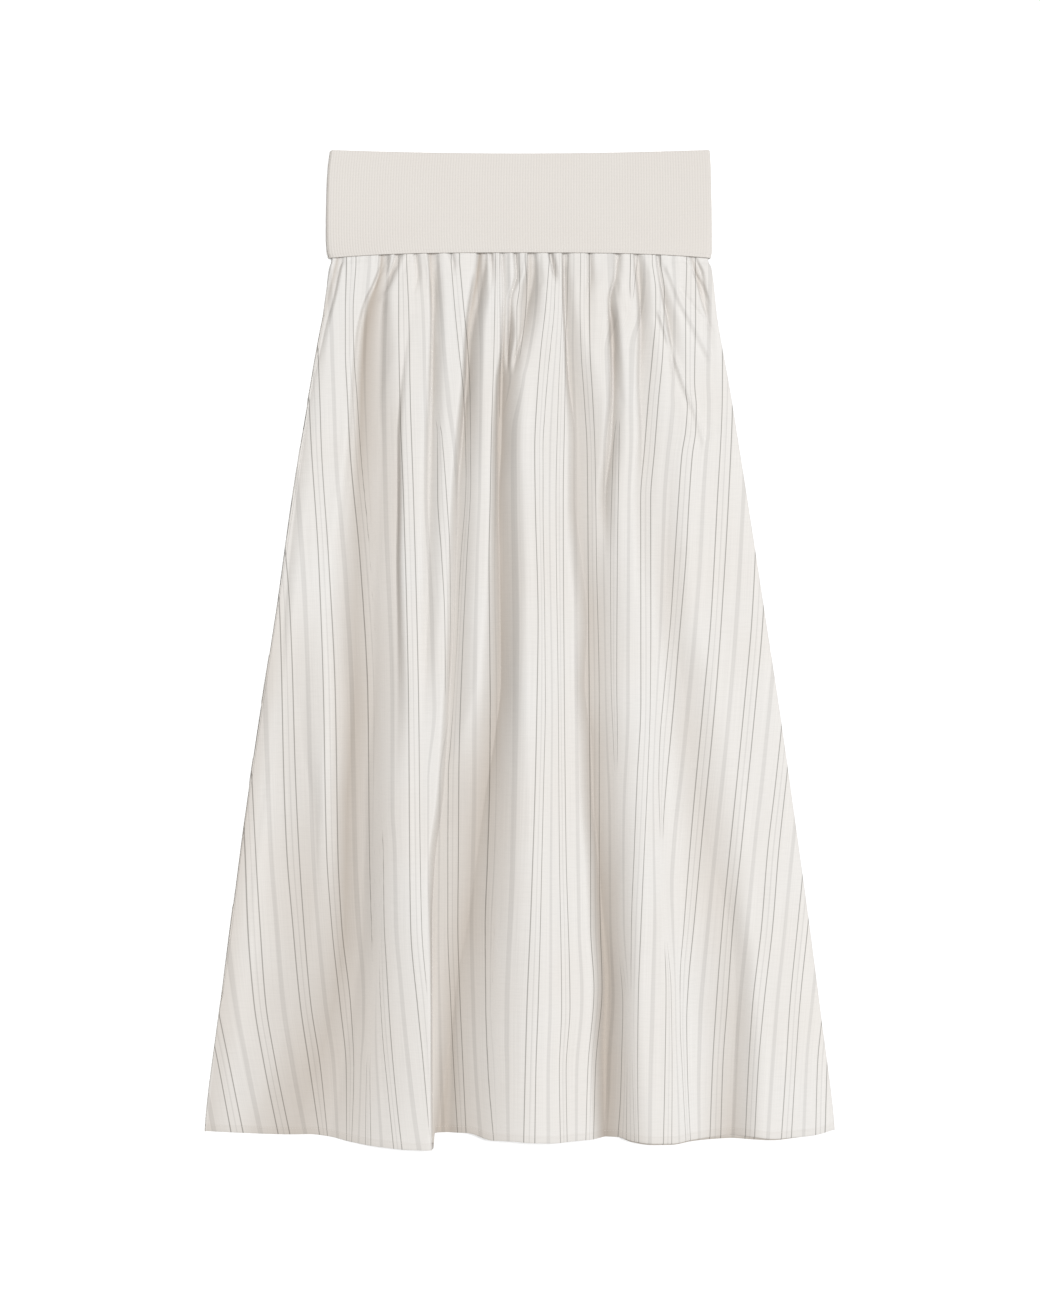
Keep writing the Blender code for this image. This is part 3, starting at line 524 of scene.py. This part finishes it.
def curve(points, place):
    """Value at a place on a smooth curve through rising (place, value) points, without overshoot."""
    places = [point[0] for point in points]
    if place <= places[0]:
        return points[0][1]
    if place >= places[-1]:
        return points[-1][1]
    i = bisect_right(places, place) - 1

    def grade(a):
        return (points[a + 1][1] - points[a][1]) / (points[a + 1][0] - points[a][0])

    def tangent(a):
        if a == 0 or a == len(points) - 1:
            return grade(min(a, len(points) - 2))
        before, after = grade(a - 1), grade(a)
        return 0.0 if before * after <= 0 else 2 * before * after / (before + after)

    step = places[i + 1] - places[i]
    t = (place - places[i]) / step
    return (
        points[i][1] * (1 + 2 * t) * (1 - t) ** 2
        + tangent(i) * step * t * (1 - t) ** 2
        + points[i + 1][1] * t * t * (3 - 2 * t)
        + tangent(i + 1) * step * t * t * (t - 1)
    )


def column(table, name):
    """One named column of a table, as (first column, value) points."""
    return [(row[0], getattr(row, name)) for row in table]


def smooth_step(t):
    """0 up to 0 and 1 from 1 on, with a smooth rise between."""
    t = min(max(t, 0.0), 1.0)
    return t * t * (3 - 2 * t)


# ---- the lie of the cloth ----

def level(down):
    """Everything that the tables give at one level of the skirt."""
    left, right = (curve(column(SIDES, name), down) for name in ("left", "right"))
    folds = []
    for stations in FOLDS.values():
        values = [curve(column(stations, name), down) for name in ("x", "depth", "left", "right", "soft")]
        folds.append(Station(down, *values))
    crests = [
        (place, curve(column(CRESTS, name), down)) for place, name in zip(CREST_PLACES, Crest._fields[1:])
    ]
    stripes = []
    for count, rows in enumerate(STRIPES.values()):
        middle = count * STRIPE_REPEAT
        for name, side in (("left", -PAIR_HALF_WIDTH), ("right", PAIR_HALF_WIDTH)):
            x = curve(column(rows, name), down)
            if stripes:
                x = max(x, stripes[-1][0] + STRIPE_APART)
            stripes.append((x, middle + side))
    return Level(down, left, right, folds, crests, stripes)


def along_cloth(x, lev):
    """How far a point is across the flat cloth, from the first pair of stripes."""
    beyond = min(x - lev.stripes[0][0], 0.0) + max(x - lev.stripes[-1][0], 0.0)
    return curve(lev.stripes, x) + beyond


def stripes_shown(x, lev):
    """1 where the stripes show, and 0 where the cloth that they are on is tucked away in a crease."""
    hidden = 0.0
    for i, ((x0, u0), (x1, u1)) in enumerate(zip(lev.stripes, lev.stripes[1:])):
        tuck = PAIR_TUCK if i % 2 == 0 else GAP_TUCK
        away = max(x0 - x, x - x1)
        if away < tuck.reach:
            taken_up = smooth_step(((u1 - u0) / (x1 - x0) - tuck.starts) / (tuck.hides - tuck.starts))
            hidden = max(hidden, taken_up * smooth_step((tuck.reach - away) / (tuck.reach - TUCK_CORE)))
    return 1 - hidden


def slope(t, soft):
    """Share of a fold's depth left at t, from its bottom at 0 to its crest at 1."""
    if t >= 1:
        return 0.0
    sharp, rounded = (1 - t) ** FOLD_SHARPNESS, (1 + math.cos(math.pi * t)) / 2
    return (1 - soft) * sharp + soft * rounded


def band_crown(x, up):
    """Height of the waistband's outer face over the gathers that it covers."""
    edge = curve(column(BAND_SIDES, "thickness"), up)
    lift = smooth_step(1 - up / BAND_CROWN_FADE)
    dome = max(0.0, 1 - (abs(x) / BAND_HALF_WIDTH) ** 4)
    return edge + (BAND_CROWN - edge) * lift * dome


def back_lift(down):
    """Height of the back panel's underside: on the band's back layer at the top, on the floor below."""
    start, length = BACK_LIFT_DOWN
    return BACK_LIFT * (1 - smooth_step((down - start) / length))


def lowest_front(x, down):
    """Height of the front panel where it lies on the back panel."""
    fade = 1 - min(max(down / GATHER_FADE, 0.0), 1.0)
    dome = 1 - min(abs(x) / GATHER_HALF_WIDTH, 1.0) ** GATHER_SQUARENESS
    return back_lift(down) + 2 * CLOTH_ROOM + GAP + GATHER_HEIGHT * fade * dome


def crease_height(x, down):
    """Height that the crossing creases add at a point."""
    here = Vector((x, down))
    height = 0.0
    for crease in CREASES:
        (x0, down0), (x1, down1) = crease.points[0], crease.points[-1]
        reach = CREASE_REACH * crease.width
        beside = x < min(x0, x1) - reach or x > max(x0, x1) + reach
        if beside or down < min(down0, down1) - reach or down > max(down0, down1) + reach:
            continue
        best = math.inf
        for start, end in zip(crease.points, crease.points[1:]):
            start, along = Vector(start), Vector(end) - Vector(start)
            t = min(max((here - start).dot(along) / along.length_squared, 0.0), 1.0)
            best = min(best, (here - start - along * t).length)
        height += crease.height * math.exp(-((best / crease.width) ** 2))
    return height


def bumps(x, along, size):
    """Random ups and downs of about one size."""
    across, length, layer = size
    return noise.noise(Vector((x / across, along / length, layer)))


def small_folds(x, down):
    """Fine unevenness of the cloth: long soft ripples, and short puckers along the waist seam."""
    ripple = bumps(x, down, LONG_RIPPLES) + SHORT_RIPPLE_SHARE * bumps(x, down, SHORT_RIPPLES)
    pucker = bumps(x, down, PUCKERS) * math.exp(-max(down, 0.0) / PUCKER_FADE)
    return RIPPLE * ripple + PUCKER * pucker


def fold_depth(x, lev):
    """How far the folds sink the front panel below its crests at a point."""
    depth = 0.0
    for fold in lev.folds:
        reach = fold.left if x < fold.x else fold.right
        depth += fold.depth * slope(abs(x - fold.x) / reach, fold.soft)
    return depth


def front_height(x, lev):
    """Top face of the front panel."""
    down = lev.down
    lowest = lowest_front(x, down)
    from_edge = max(min(x - lev.left, lev.right - x), 0.0)
    crest = curve(lev.crests, (x - lev.left) / (lev.right - lev.left))
    if down < BAND_EDGE_DROOP:
        crest = min(crest, band_crown(x, max(-down, 0.0)) - RIB_CLOTH_THICKNESS - UNDER_BAND)
    roll = math.sqrt(1 - (1 - min(from_edge / EDGE_ROLL, 1.0)) ** 2)
    slow_rise = 1 - math.exp(-from_edge / EDGE_SOFTNESS)
    rise = EDGE_ROLL_SHARE * roll + (1 - EDGE_ROLL_SHARE) * slow_rise
    height = lowest + max(crest - lowest, 0.0) * rise - fold_depth(x, lev)
    return max(height, lowest)


def uneven(x, lev):
    """What creases and small folds add, less at the side folds and under the band."""
    start, length = SEAM_CALM
    inward = smooth_step(min(x - lev.left, lev.right - x) / EDGE_CALM)
    room = inward * smooth_step((lev.down - start) / length)
    return (crease_height(x, lev.down) + small_folds(x, lev.down)) * room


def hem_hang(hem, x, down):
    """How much lower the hem's waves bring a point."""
    wave = smooth_step((down - HEM_WAVE_FROM) / (SKIRT_LENGTH - HEM_WAVE_FROM))
    return curve(hem, x) * wave


def edge_droop(x, down):
    """The band's lower edge hangs lower at the sides, and the cloth below follows it at first."""
    across = min(abs(x) / BAND_HALF_WIDTH, 1.0)
    return BAND_EDGE_DROOP * across ** 3 * (1 - smooth_step(down / DROOP_FADE))


def place_y(x, down, hem):
    """Where a point of a panel lies between the waist and the hem."""
    return BAND_EDGE_Y - down - edge_droop(x, down) - hem_hang(hem, x, down)


# ---- sheets of cloth ----

def sheet_levels(pitch):
    """Levels of a panel's rows: close together at the gathers and at the hem."""
    downs = [-PANEL_SEAM_UP]
    for end, step in ROW_STEPS:
        start = downs[-1]
        count = max(round((end - start) / (step * pitch)), 2)
        downs += [start + (end - start) * (i + 1) / count for i in range(count)]
    return [level(down) for down in [*downs, *HEM_ROWS]]


def sheet_marks(lev):
    """Places of the folds and of the bends at both sides, which the columns are spread between."""
    return [lev.left + SIDE_BEND] + [fold.x for fold in lev.folds] + [lev.right - SIDE_BEND]


def sheet_columns(levels, pitch):
    """Number of columns between each two neighbouring folds, from the widest that they are apart."""
    marks = [sheet_marks(lev) for lev in levels[::8]]       # every eighth level is enough for this
    counts = []
    for i in range(len(FOLDS) + 1):
        widest = max(row[i + 1] - row[i] for row in marks)
        counts.append(max(round(widest / pitch), 3))
    return counts


def sheet_places(lev, counts):
    """Places of the columns at one level. They follow the folds and crowd towards them."""
    marks = sheet_marks(lev)
    places = [marks[0]]
    for start, end, count in zip(marks, marks[1:], counts):
        for i in range(1, count + 1):
            t = i / count
            crowded = (1 - math.cos(math.pi * t)) / 2
            places.append(start + (end - start) * ((1 - COLUMN_CROWDING) * t + COLUMN_CROWDING * crowded))
    return places


def sheet(name, rows, material):
    """A sheet of cloth from rows of spots, with its thickness, its pattern map, its stripes and its painted
    shade.
    """
    bm = bmesh.new()
    across, along = len(rows[0]), len(rows)
    bmesh.ops.create_grid(bm, x_segments=across - 1, y_segments=along - 1, size=0.5)
    shown = bm.verts.layers.float.new("stripes shown")
    # Share of the shade painted into the colour, darkest deep in the folds and at the hems
    depth = bm.verts.layers.float.new("painted shade share")
    flat = {}
    for vert in bm.verts:
        spot = rows[round((0.5 - vert.co.y) * (along - 1))][round((vert.co.x + 0.5) * (across - 1))]
        vert.co = Vector(spot.place) * MM
        vert[shown], vert[depth] = spot.shown, spot.depth
        flat[vert] = spot.flat
    pattern = bm.loops.layers.uv.new("flat cloth")
    for face in bm.faces:
        for loop in face.loops:
            loop[pattern].uv = Vector(flat[loop.vert]) * MM
    piece = finish_piece(name, bm, material)
    wall = piece.modifiers.new("cloth thickness", "SOLIDIFY")
    wall.thickness = CLOTH_THICKNESS * MM
    wall.offset = -1
    return piece


def finish_piece(name, bm, material):
    """The finished shape as a piece of the skirt, in its material."""
    mesh = bpy.data.meshes.new(name)
    bm.to_mesh(mesh)
    bm.free()
    mesh.shade_smooth()
    mesh.materials.append(material)
    piece = bpy.data.objects.new(name, mesh)
    bpy.context.scene.collection.objects.link(piece)
    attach(piece, "root")
    return piece


def moved(spot, step, along):
    """The same spot of cloth a step further on, in space and along the flat cloth."""
    place = [a + b for a, b in zip(spot.place, step)]
    return spot._replace(place=place, flat=[a + b for a, b in zip(spot.flat, along)])


def with_side_folds(row, bend):
    """The row with the cloth turned under at both sides, down to the panel that it meets."""
    left, right = [], []
    for degrees in (45, 90, 135, 180):
        angle = math.radians(degrees)
        out, drop = bend * math.sin(angle), bend * (1 - math.cos(angle))
        left.insert(0, moved(row[0], (-out, 0, -drop), (-bend * angle, 0)))
        right.append(moved(row[-1], (out, 0, -drop), (bend * angle, 0)))
    return left + row + right


def front_rows():
    """The front panel, with its side edges turned under and its hem turned."""
    levels = sheet_levels(FRONT_PITCH)
    counts = sheet_columns(levels, FRONT_PITCH)
    rows = []
    for lev in levels:
        row = []
        hem = smooth_step(lev.down - HEM_RIDGE_FROM)
        for x in sheet_places(lev, counts):
            z = front_height(x, lev) + uneven(x, lev) + HEM_SHOWS * hem
            # Painted shade: deeper folds and the turned hem get a darker colour
            depth = min(fold_depth(x, lev) / DEEP_FOLD + HEM_PAINTED_SHADE * hem, 1.0)
            row.append(cloth_spot((x, place_y(x, lev.down, FRONT_HEM), z), x, lev, depth))
        rows.append(with_side_folds(row, SIDE_BEND * (1 - hem / 2)))
    return turn_hem(rows, HEM_BEND, -1)


def cloth_spot(place, x, lev, depth):
    """A spot of cloth at a place, with what its colour depends on."""
    return Spot(place, (along_cloth(x, lev), -lev.down), stripes_shown(x, lev), depth)


def turn_hem(rows, bend, side):
    """The rows with the hem's edge bent round and laid back, under the cloth at -1 and over it at 1."""
    edge = rows[-1]
    turned = []
    for degrees in (60, 120, 180):
        angle = math.radians(degrees)
        out, rise = bend * math.sin(angle), side * bend * (1 - math.cos(angle))
        turned.append([moved(spot, (0, -out, rise), (0, -bend * angle)) for spot in edge])
    inside = []
    for spot, beside in zip(edge, rows[HEM_END_ROW]):
        laid = moved(beside, (0, 0, side * 2 * bend), (0, 0))
        inside.append(laid._replace(flat=(spot.flat[0], spot.flat[1] - HEM_TURN)))
    return rows + turned + [inside]


def back_height(x, lev):
    """Top face of the back panel: the front's folds, pressed low."""
    inward = smooth_step(min(x - lev.left, lev.right - x) / BACK_EDGE)
    rise = BACK_SHARE * (front_height(x, lev) - lowest_front(x, lev.down)) * inward
    lift = BACK_HEM_LIFT * smooth_step((lev.down - HEM_WAVE_FROM) / (HEM_FROM - HEM_WAVE_FROM))
    return back_lift(lev.down) + CLOTH_THICKNESS + lift + rise


def back_rows():
    """The back panel: the same cloth under the front, with the floor under it."""
    levels = sheet_levels(BACK_PITCH)
    counts = sheet_columns(levels, BACK_PITCH)
    rows = []
    for lev in levels:
        row = []
        # Painted shade along the back hem, where it lies under the front
        shade = BACK_HEM_PAINTED_SHADE * smooth_step((lev.down - HEM_FROM) / BACK_HEM_SHADE_WIDTH)
        for x in sheet_places(lev, counts):
            place = (x, place_y(x, lev.down, BACK_HEM), back_height(x, lev))
            row.append(cloth_spot(place, x, lev, shade))
        rows.append(row)
    return turn_hem(rows, BACK_HEM_BEND, 1)


# ---- the waistband ----

def band_stations():
    """Places round the folded tube, six to a rib: side, where along it, and how deep in a groove."""
    stations = []
    for side, start, end, ribs in (
        ("front", -1, 1, FRONT_RIBS), ("right", 90, -90, SIDE_RIBS),
        ("back", 1, -1, FRONT_RIBS), ("left", 270, 90, SIDE_RIBS),
    ):
        for i in range(ribs * RIB_STEPS):
            groove = (1 - abs(math.sin(math.pi * i / RIB_STEPS))) ** RIB_SHARPNESS
            stations.append((side, start + (end - start) * i / (ribs * RIB_STEPS), groove))
    return stations


def band_point(station, up, inset, ribbed):
    """A point of the folded tube, `inset` inside its outer skin and `up` above its lower edge."""
    side, value, groove = station
    left, right = (curve(column(BAND_SIDES, name), up) for name in ("left", "right"))
    radius = curve(column(BAND_SIDES, "thickness"), up) / 2
    inset = inset + ribbed * RIB_DEPTH * groove
    flat_left, flat_right = left + radius, right - radius
    if side in ("front", "back"):
        x = flat_left + (flat_right - flat_left) * (value + 1) / 2
        z = band_crown(x, up) - inset if side == "front" else inset
        if side == "front":
            z += BAND_UNEVEN * bumps(x, up, BAND_UNEVEN_SIZE)
    else:
        angle = math.radians(value)
        x = (flat_right if side == "right" else flat_left) + (radius - inset) * math.cos(angle)
        z = radius + (radius - inset) * math.sin(angle)
    across = min(abs(x) / BAND_HALF_WIDTH, 1.0)
    low = BAND_EDGE_Y - BAND_EDGE_DROOP * across ** 3
    high = BAND_EDGE_Y + BAND_HEIGHT - BAND_TOP_DIP * (1 - across ** 2)
    return (x, low + (high - low) * up / BAND_HEIGHT, max(z, 0.0))


def band_section():
    """Steps across the knit, from the lower edge up the outside, over the top fold and down the inside."""
    cloth = RIB_CLOTH_THICKNESS
    middle = cloth + GAP / 2
    fold_up = BAND_HEIGHT - middle
    inner = 2 * cloth + GAP
    steps = BAND_EDGE_STEPS + [(up, 0.0, 1.0) for up in (*BAND_OUTSIDE, fold_up)]
    for degrees in range(20, 180, 20):
        angle = math.radians(degrees)
        steps.append((fold_up + middle * math.sin(angle), middle * (1 - math.cos(angle)), 1.0))
    # down the inner layer to the seam, back up its other face, and down the outer layer's inside
    steps += [(up, inner, -1.0) for up in (fold_up, 80.0, 60.0, 30.0, BAND_SEAM_UP)]
    steps += [(up, cloth + GAP, 0.0) for up in (BAND_SEAM_UP, 30.0, fold_up)]
    steps += [(fold_up + GAP / 2, middle, 0.0)]
    steps += [(up, cloth, 0.0) for up in (fold_up, 30.0, 4.0, BAND_EDGE_STEPS[0][0])]
    return steps


def make_band(material):
    """One tube of rib knit, folded over at the top and down over the seam, with a finished lower edge."""
    stations, steps = band_stations(), band_section()
    bm = bmesh.new()
    bmesh.ops.create_grid(bm, x_segments=len(stations), y_segments=len(steps), size=0.5)
    pattern = bm.loops.layers.uv.new("flat knit")
    spots = {}
    for vert in bm.verts:
        i = round((vert.co.x + 0.5) * len(stations))
        j = round((0.5 - vert.co.y) * len(steps))
        spots[vert] = (i, j)
    for face in bm.faces:
        for loop in face.loops:
            i, j = spots[loop.vert]
            loop[pattern].uv = (i / RIB_STEPS * RIB_PITCH * MM, band_length(steps, j) * MM)
    for vert, (i, j) in spots.items():
        up, inset, ribbed = steps[j % len(steps)]
        vert.co = Vector(band_point(stations[i % len(stations)], up, inset, ribbed)) * MM
    bmesh.ops.remove_doubles(bm, verts=bm.verts[:], dist=1e-7)
    bmesh.ops.recalc_face_normals(bm, faces=bm.faces[:])
    return finish_piece("rib_waistband", bm, material)


def band_length(steps, j):
    """Length of knit from the first step to step j, which runs on where the section closes."""
    length = 0.0
    for (up0, inset0, _), (up1, inset1, _) in zip(steps[:j], steps[1:j + 1] + steps[:1]):
        length += math.hypot(up1 - up0, inset1 - inset0)
    return length


# ---- sewing ----

def make_stitches(name, spots, material):
    """Short rounded stitches, each at a (place, direction, length, radius)."""
    bm = bmesh.new()
    for place, direction, length, radius in spots:
        turn = direction.to_track_quat("X", "Z").to_matrix().to_4x4()
        shape = Matrix.Diagonal((length / 2, radius, radius, 1.0))
        where = Matrix.Translation(place * MM) @ turn @ shape
        bmesh.ops.create_uvsphere(bm, u_segments=6, v_segments=4, radius=1.0, matrix=where)
    return finish_piece(name, bm, material)


def hem_stitch_spots(hem, height_of):
    """Stitches along a hem, on the outside of the cloth, apart from those out of sight in a steep fold."""
    lev = level(STITCH_DOWN)
    count = int((lev.right - lev.left - 2 * STITCH_MARGIN) / STITCH_PITCH)
    spots = []
    for i in range(count):
        x0 = lev.left + STITCH_MARGIN + i * STITCH_PITCH
        x1 = x0 + STITCH_PITCH * STITCH_SHARE
        ends = [Vector((x, place_y(x, STITCH_DOWN, hem), height_of(x, lev))) for x in (x0, x1)]
        along = ends[1] - ends[0]
        if along.length < STITCH_PITCH:
            spots.append(((ends[0] + ends[1]) / 2, along, along.length * MM, STITCH_RADIUS * MM))
    return spots


# ---- finishes ----

class Finish:
    """A material made step by step: calls add nodes and join or set their inputs."""

    def __init__(self, name):
        self.material = bpy.data.materials.new(name)
        self.material.use_nodes = True
        self.nodes = self.material.node_tree.nodes
        self.links = self.material.node_tree.links

    def join(self, socket, value):
        if isinstance(value, bpy.types.NodeSocket):
            self.links.new(value, socket)
        else:
            socket.default_value = value

    def join_all(self, node, inputs):
        for name, value in inputs.items():
            self.join(node.inputs[name.replace("_", " ")], value)

    def surface(self, **inputs):
        """Joins or sets inputs of the surface itself."""
        self.join_all(self.nodes["Principled BSDF"], inputs)

    def add(self, kind, settings=None, **inputs):
        made = self.nodes.new(kind)
        for name, value in (settings or {}).items():
            setattr(made, name, value)
        self.join_all(made, inputs)
        return made

    def math(self, operation, *values):
        made = self.add("ShaderNodeMath", {"operation": operation})
        for i, value in enumerate(values):
            self.join(made.inputs[i], value)
        return made.outputs[0]

    def ramp(self, factor, stops):
        made = self.add("ShaderNodeValToRGB", Fac=factor)
        for _ in stops[2:]:
            made.color_ramp.elements.new(0.5)
        for element, (place, shade) in zip(made.color_ramp.elements, stops):
            element.position = place
            element.color = (*shade, 1.0) if isinstance(shade, tuple) else (shade, shade, shade, 1.0)
        return made.outputs[0]

    def times(self, first, second, share=1.0):
        made = self.add("ShaderNodeMix", {"data_type": "RGBA", "blend_type": "MULTIPLY"})
        self.join(made.inputs["Factor"], share)
        self.join(made.inputs[6], first)
        self.join(made.inputs[7], second)
        return made.outputs[2]

    def noise(self, vector, scale=1.0, detail=2.0, roughness=0.5):
        made = self.add(
            "ShaderNodeTexNoise", Vector=vector, Scale=scale, Detail=detail, Roughness=roughness,
        )
        return made.outputs["Fac"]

    def stretched(self, vector, scale):
        return self.add("ShaderNodeMapping", Vector=vector, Scale=scale).outputs[0]

    def between(self, share, low, high):
        return self.add("ShaderNodeMapRange", Value=share, To_Min=low, To_Max=high).outputs[0]

    def mixed(self, first, first_share, second, second_share):
        """Two heights, each by its share, in one."""
        parts = self.math("MULTIPLY", first, first_share), self.math("MULTIPLY", second, second_share)
        return self.math("ADD", *parts)

    def bump(self, height, strength, distance):
        made = self.add("ShaderNodeBump", Height=height, Strength=strength, Distance=distance)
        self.surface(Normal=made.outputs[0])


def striped_cloth():
    """Off-white plain weave: pairs of grey pinstripes with a fine one inside, and soft bands between."""
    cloth = Finish("striped cloth")
    flat = cloth.add("ShaderNodeUVMap", {"uv_map": "flat cloth"}).outputs[0]
    across = cloth.add("ShaderNodeSeparateXYZ", Vector=flat).outputs[0]
    from_pair = cloth.math("PINGPONG", across, STRIPE_REPEAT / 2 * MM)
    share = cloth.math("DIVIDE", from_pair, STRIPE_REPEAT / 2 * MM)

    def at(distance):
        return distance / (STRIPE_REPEAT / 2)

    full, gone = PINSTRIPE_EDGE
    stripes = cloth.ramp(share, [
        (0.0, FINE_STRIPE), (at(FINE_STRIPE_EDGE[0]), FINE_STRIPE), (at(FINE_STRIPE_EDGE[1]), 1.0),
        (at(PAIR_HALF_WIDTH - gone), 1.0), (at(PAIR_HALF_WIDTH - full), PINSTRIPE),
        (at(PAIR_HALF_WIDTH + full), PINSTRIPE), (at(PAIR_HALF_WIDTH + gone), 1.0),
        (at(SOFT_BAND_EDGE[1]), 1.0), (at(SOFT_BAND_EDGE[0]), SOFT_BAND), (1.0, SOFT_BAND),
    ])
    streaks = cloth.noise(cloth.stretched(flat, STREAKS), detail=3.0, roughness=0.6)
    slubs = cloth.noise(cloth.stretched(flat, SLUBS))
    clouds = cloth.noise(flat, scale=9.0)
    colour = cloth.ramp(clouds, [(0.3, CLOTH_WARM), (0.7, CLOTH_COOL)])
    shown = cloth.add("ShaderNodeAttribute", {"attribute_name": "stripes shown"}).outputs["Fac"]
    depth = cloth.add("ShaderNodeAttribute", {"attribute_name": "painted shade share"}).outputs["Fac"]
    colour = cloth.times(colour, stripes, shown)
    # Painted shade: the colour turns darker and warmer where the attribute says, deep in the folds and at
    # the hems
    colour = cloth.times(colour, (*PAINTED_SHADE_COLOUR, 1.0), depth)
    colour = cloth.times(colour, cloth.ramp(streaks, [(0.25, 0.93), (0.6, 1.0)]))
    colour = cloth.times(colour, cloth.ramp(slubs, [(0.3, 0.97), (0.6, 1.0)]))
    cloth.bump(cloth.mixed(streaks, 0.7, slubs, 0.3), strength=0.35, distance=0.2 * MM)
    cloth.surface(Base_Color=colour, Roughness=cloth.between(streaks, 0.82, 0.95), Specular_IOR_Level=0.25)
    return cloth.material


def rib_knit():
    """Cream rib knit: the ribs are in its shape, and the rows of stitches in its bump."""
    knit = Finish("rib knit")
    flat = knit.add("ShaderNodeUVMap", {"uv_map": "flat knit"}).outputs[0]
    clouds = knit.noise(flat, scale=14.0)
    fuzz = knit.noise(flat, scale=1800.0, roughness=0.6)
    rows = knit.add(
        "ShaderNodeTexWave", {"wave_type": "BANDS", "bands_direction": "Y", "wave_profile": "SIN"},
        Vector=flat, Scale=WAVE_LENGTH / (KNIT_ROW * MM), Distortion=1.5, Detail=1.0, Detail_Scale=2.0,
    ).outputs["Fac"]
    colour = knit.ramp(clouds, [(0.3, KNIT_WARM), (0.7, KNIT_COOL)])
    colour = knit.times(colour, knit.ramp(rows, [(0.0, 0.965), (0.5, 1.0)]))
    colour = knit.times(colour, knit.ramp(fuzz, [(0.3, 0.96), (0.6, 1.0)]))
    knit.bump(knit.mixed(rows, 0.6, fuzz, 0.4), strength=0.4, distance=0.2 * MM)
    knit.surface(Base_Color=colour, Roughness=knit.between(fuzz, 0.85, 0.98), Specular_IOR_Level=0.2)
    knit.surface(Sheen_Weight=0.2, Sheen_Roughness=0.5)
    return knit.material


def thread():
    """Sewing thread, a little darker than the cloth."""
    yarn = Finish("sewing thread")
    where = yarn.add("ShaderNodeTexCoord").outputs["Object"]
    twist = yarn.noise(where, scale=2500.0)
    yarn.bump(twist, strength=0.3, distance=0.1 * MM)
    colour = yarn.ramp(twist, [(0.3, THREAD_DARK), (0.7, THREAD_LIGHT)])
    yarn.surface(Base_Color=colour, Roughness=0.7)
    return yarn.material


def pale_floor():
    """Matte white studio floor."""
    ground = Finish("pale floor")
    where = ground.add("ShaderNodeTexCoord").outputs["Object"]
    speckle = ground.noise(where, scale=4.0)
    shade = ground.ramp(speckle, [(0.3, FLOOR_DARK), (0.7, FLOOR_LIGHT)])
    ground.surface(Base_Color=shade, Roughness=1.0, Specular_IOR_Level=0.0)
    return ground.material


# ---- light, floor and camera ----

def make_floor():
    """A wide floor, with its edge far outside the picture."""
    bm = bmesh.new()
    bmesh.ops.create_grid(bm, x_segments=4, y_segments=4, size=FLOOR_HALF_WIDTH)
    mesh = bpy.data.meshes.new("floor")
    bm.to_mesh(mesh)
    bm.free()
    mesh.materials.append(pale_floor())
    ground = bpy.data.objects.new("floor", mesh)
    bpy.context.scene.collection.objects.link(ground)


def make_light():
    """One large soft lamp nearly overhead, a little to the right, in a pale studio."""
    lamp = bpy.data.lights.new("overhead lamp", "SUN")
    lamp.angle = math.radians(LAMP_SPREAD)
    lamp.energy = LAMP_STRENGTH
    lamp.color = LAMP_COLOUR
    holder = bpy.data.objects.new("overhead lamp", lamp)
    holder.rotation_euler = (0, math.radians(LAMP_LEAN), math.radians(LAMP_TURN))
    bpy.context.scene.collection.objects.link(holder)
    world = bpy.data.worlds.new("studio")
    bpy.context.scene.world = world
    world.use_nodes = True
    sky = world.node_tree.nodes["Background"]
    sky.inputs["Color"].default_value = (*STUDIO_COLOUR, 1.0)
    sky.inputs["Strength"].default_value = STUDIO_LIGHT
    bpy.context.scene.view_settings.view_transform = "Standard"
    bpy.context.scene.view_settings.look = "None"


def make_camera():
    """Looks straight down, with a picture as high as PICTURE_HEIGHT on the floor."""
    lens = bpy.data.cameras.new("overhead camera")
    lens.sensor_width = SENSOR
    lens.lens = SENSOR * CAMERA_HEIGHT / PICTURE_HEIGHT
    lens.clip_end = CAMERA_REACH
    camera = bpy.data.objects.new("overhead camera", lens)
    camera.location = (PICTURE_MIDDLE_X, PICTURE_MIDDLE_Y, CAMERA_HEIGHT)
    bpy.context.scene.collection.objects.link(camera)
    bpy.context.scene.camera = camera


def main():
    cloth, knit, sewing = striped_cloth(), rib_knit(), thread()
    back = sheet("back_panel", back_rows(), cloth)
    front = sheet("front_panel", front_rows(), cloth)
    band = make_band(knit)

    def on_front(x, lev):
        return front_height(x, lev) + uneven(x, lev) + HEM_SHOWS + STITCH_PROUD

    def under_back(x, lev):
        return back_height(x, lev) - CLOTH_THICKNESS - STITCH_PROUD

    front_stitches = make_stitches("front_hem_stitches", hem_stitch_spots(FRONT_HEM, on_front), sewing)
    back_stitches = make_stitches("back_hem_stitches", hem_stitch_spots(BACK_HEM, under_back), sewing)

    for piece, node, slot in (
        (front, "skirt_front", "striped_cloth"), (back, "skirt_back", "striped_cloth"),
        (band, "waistband", "rib_knit"),
    ):
        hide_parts(node)
    make_floor()
    make_light()
    make_camera()


main()
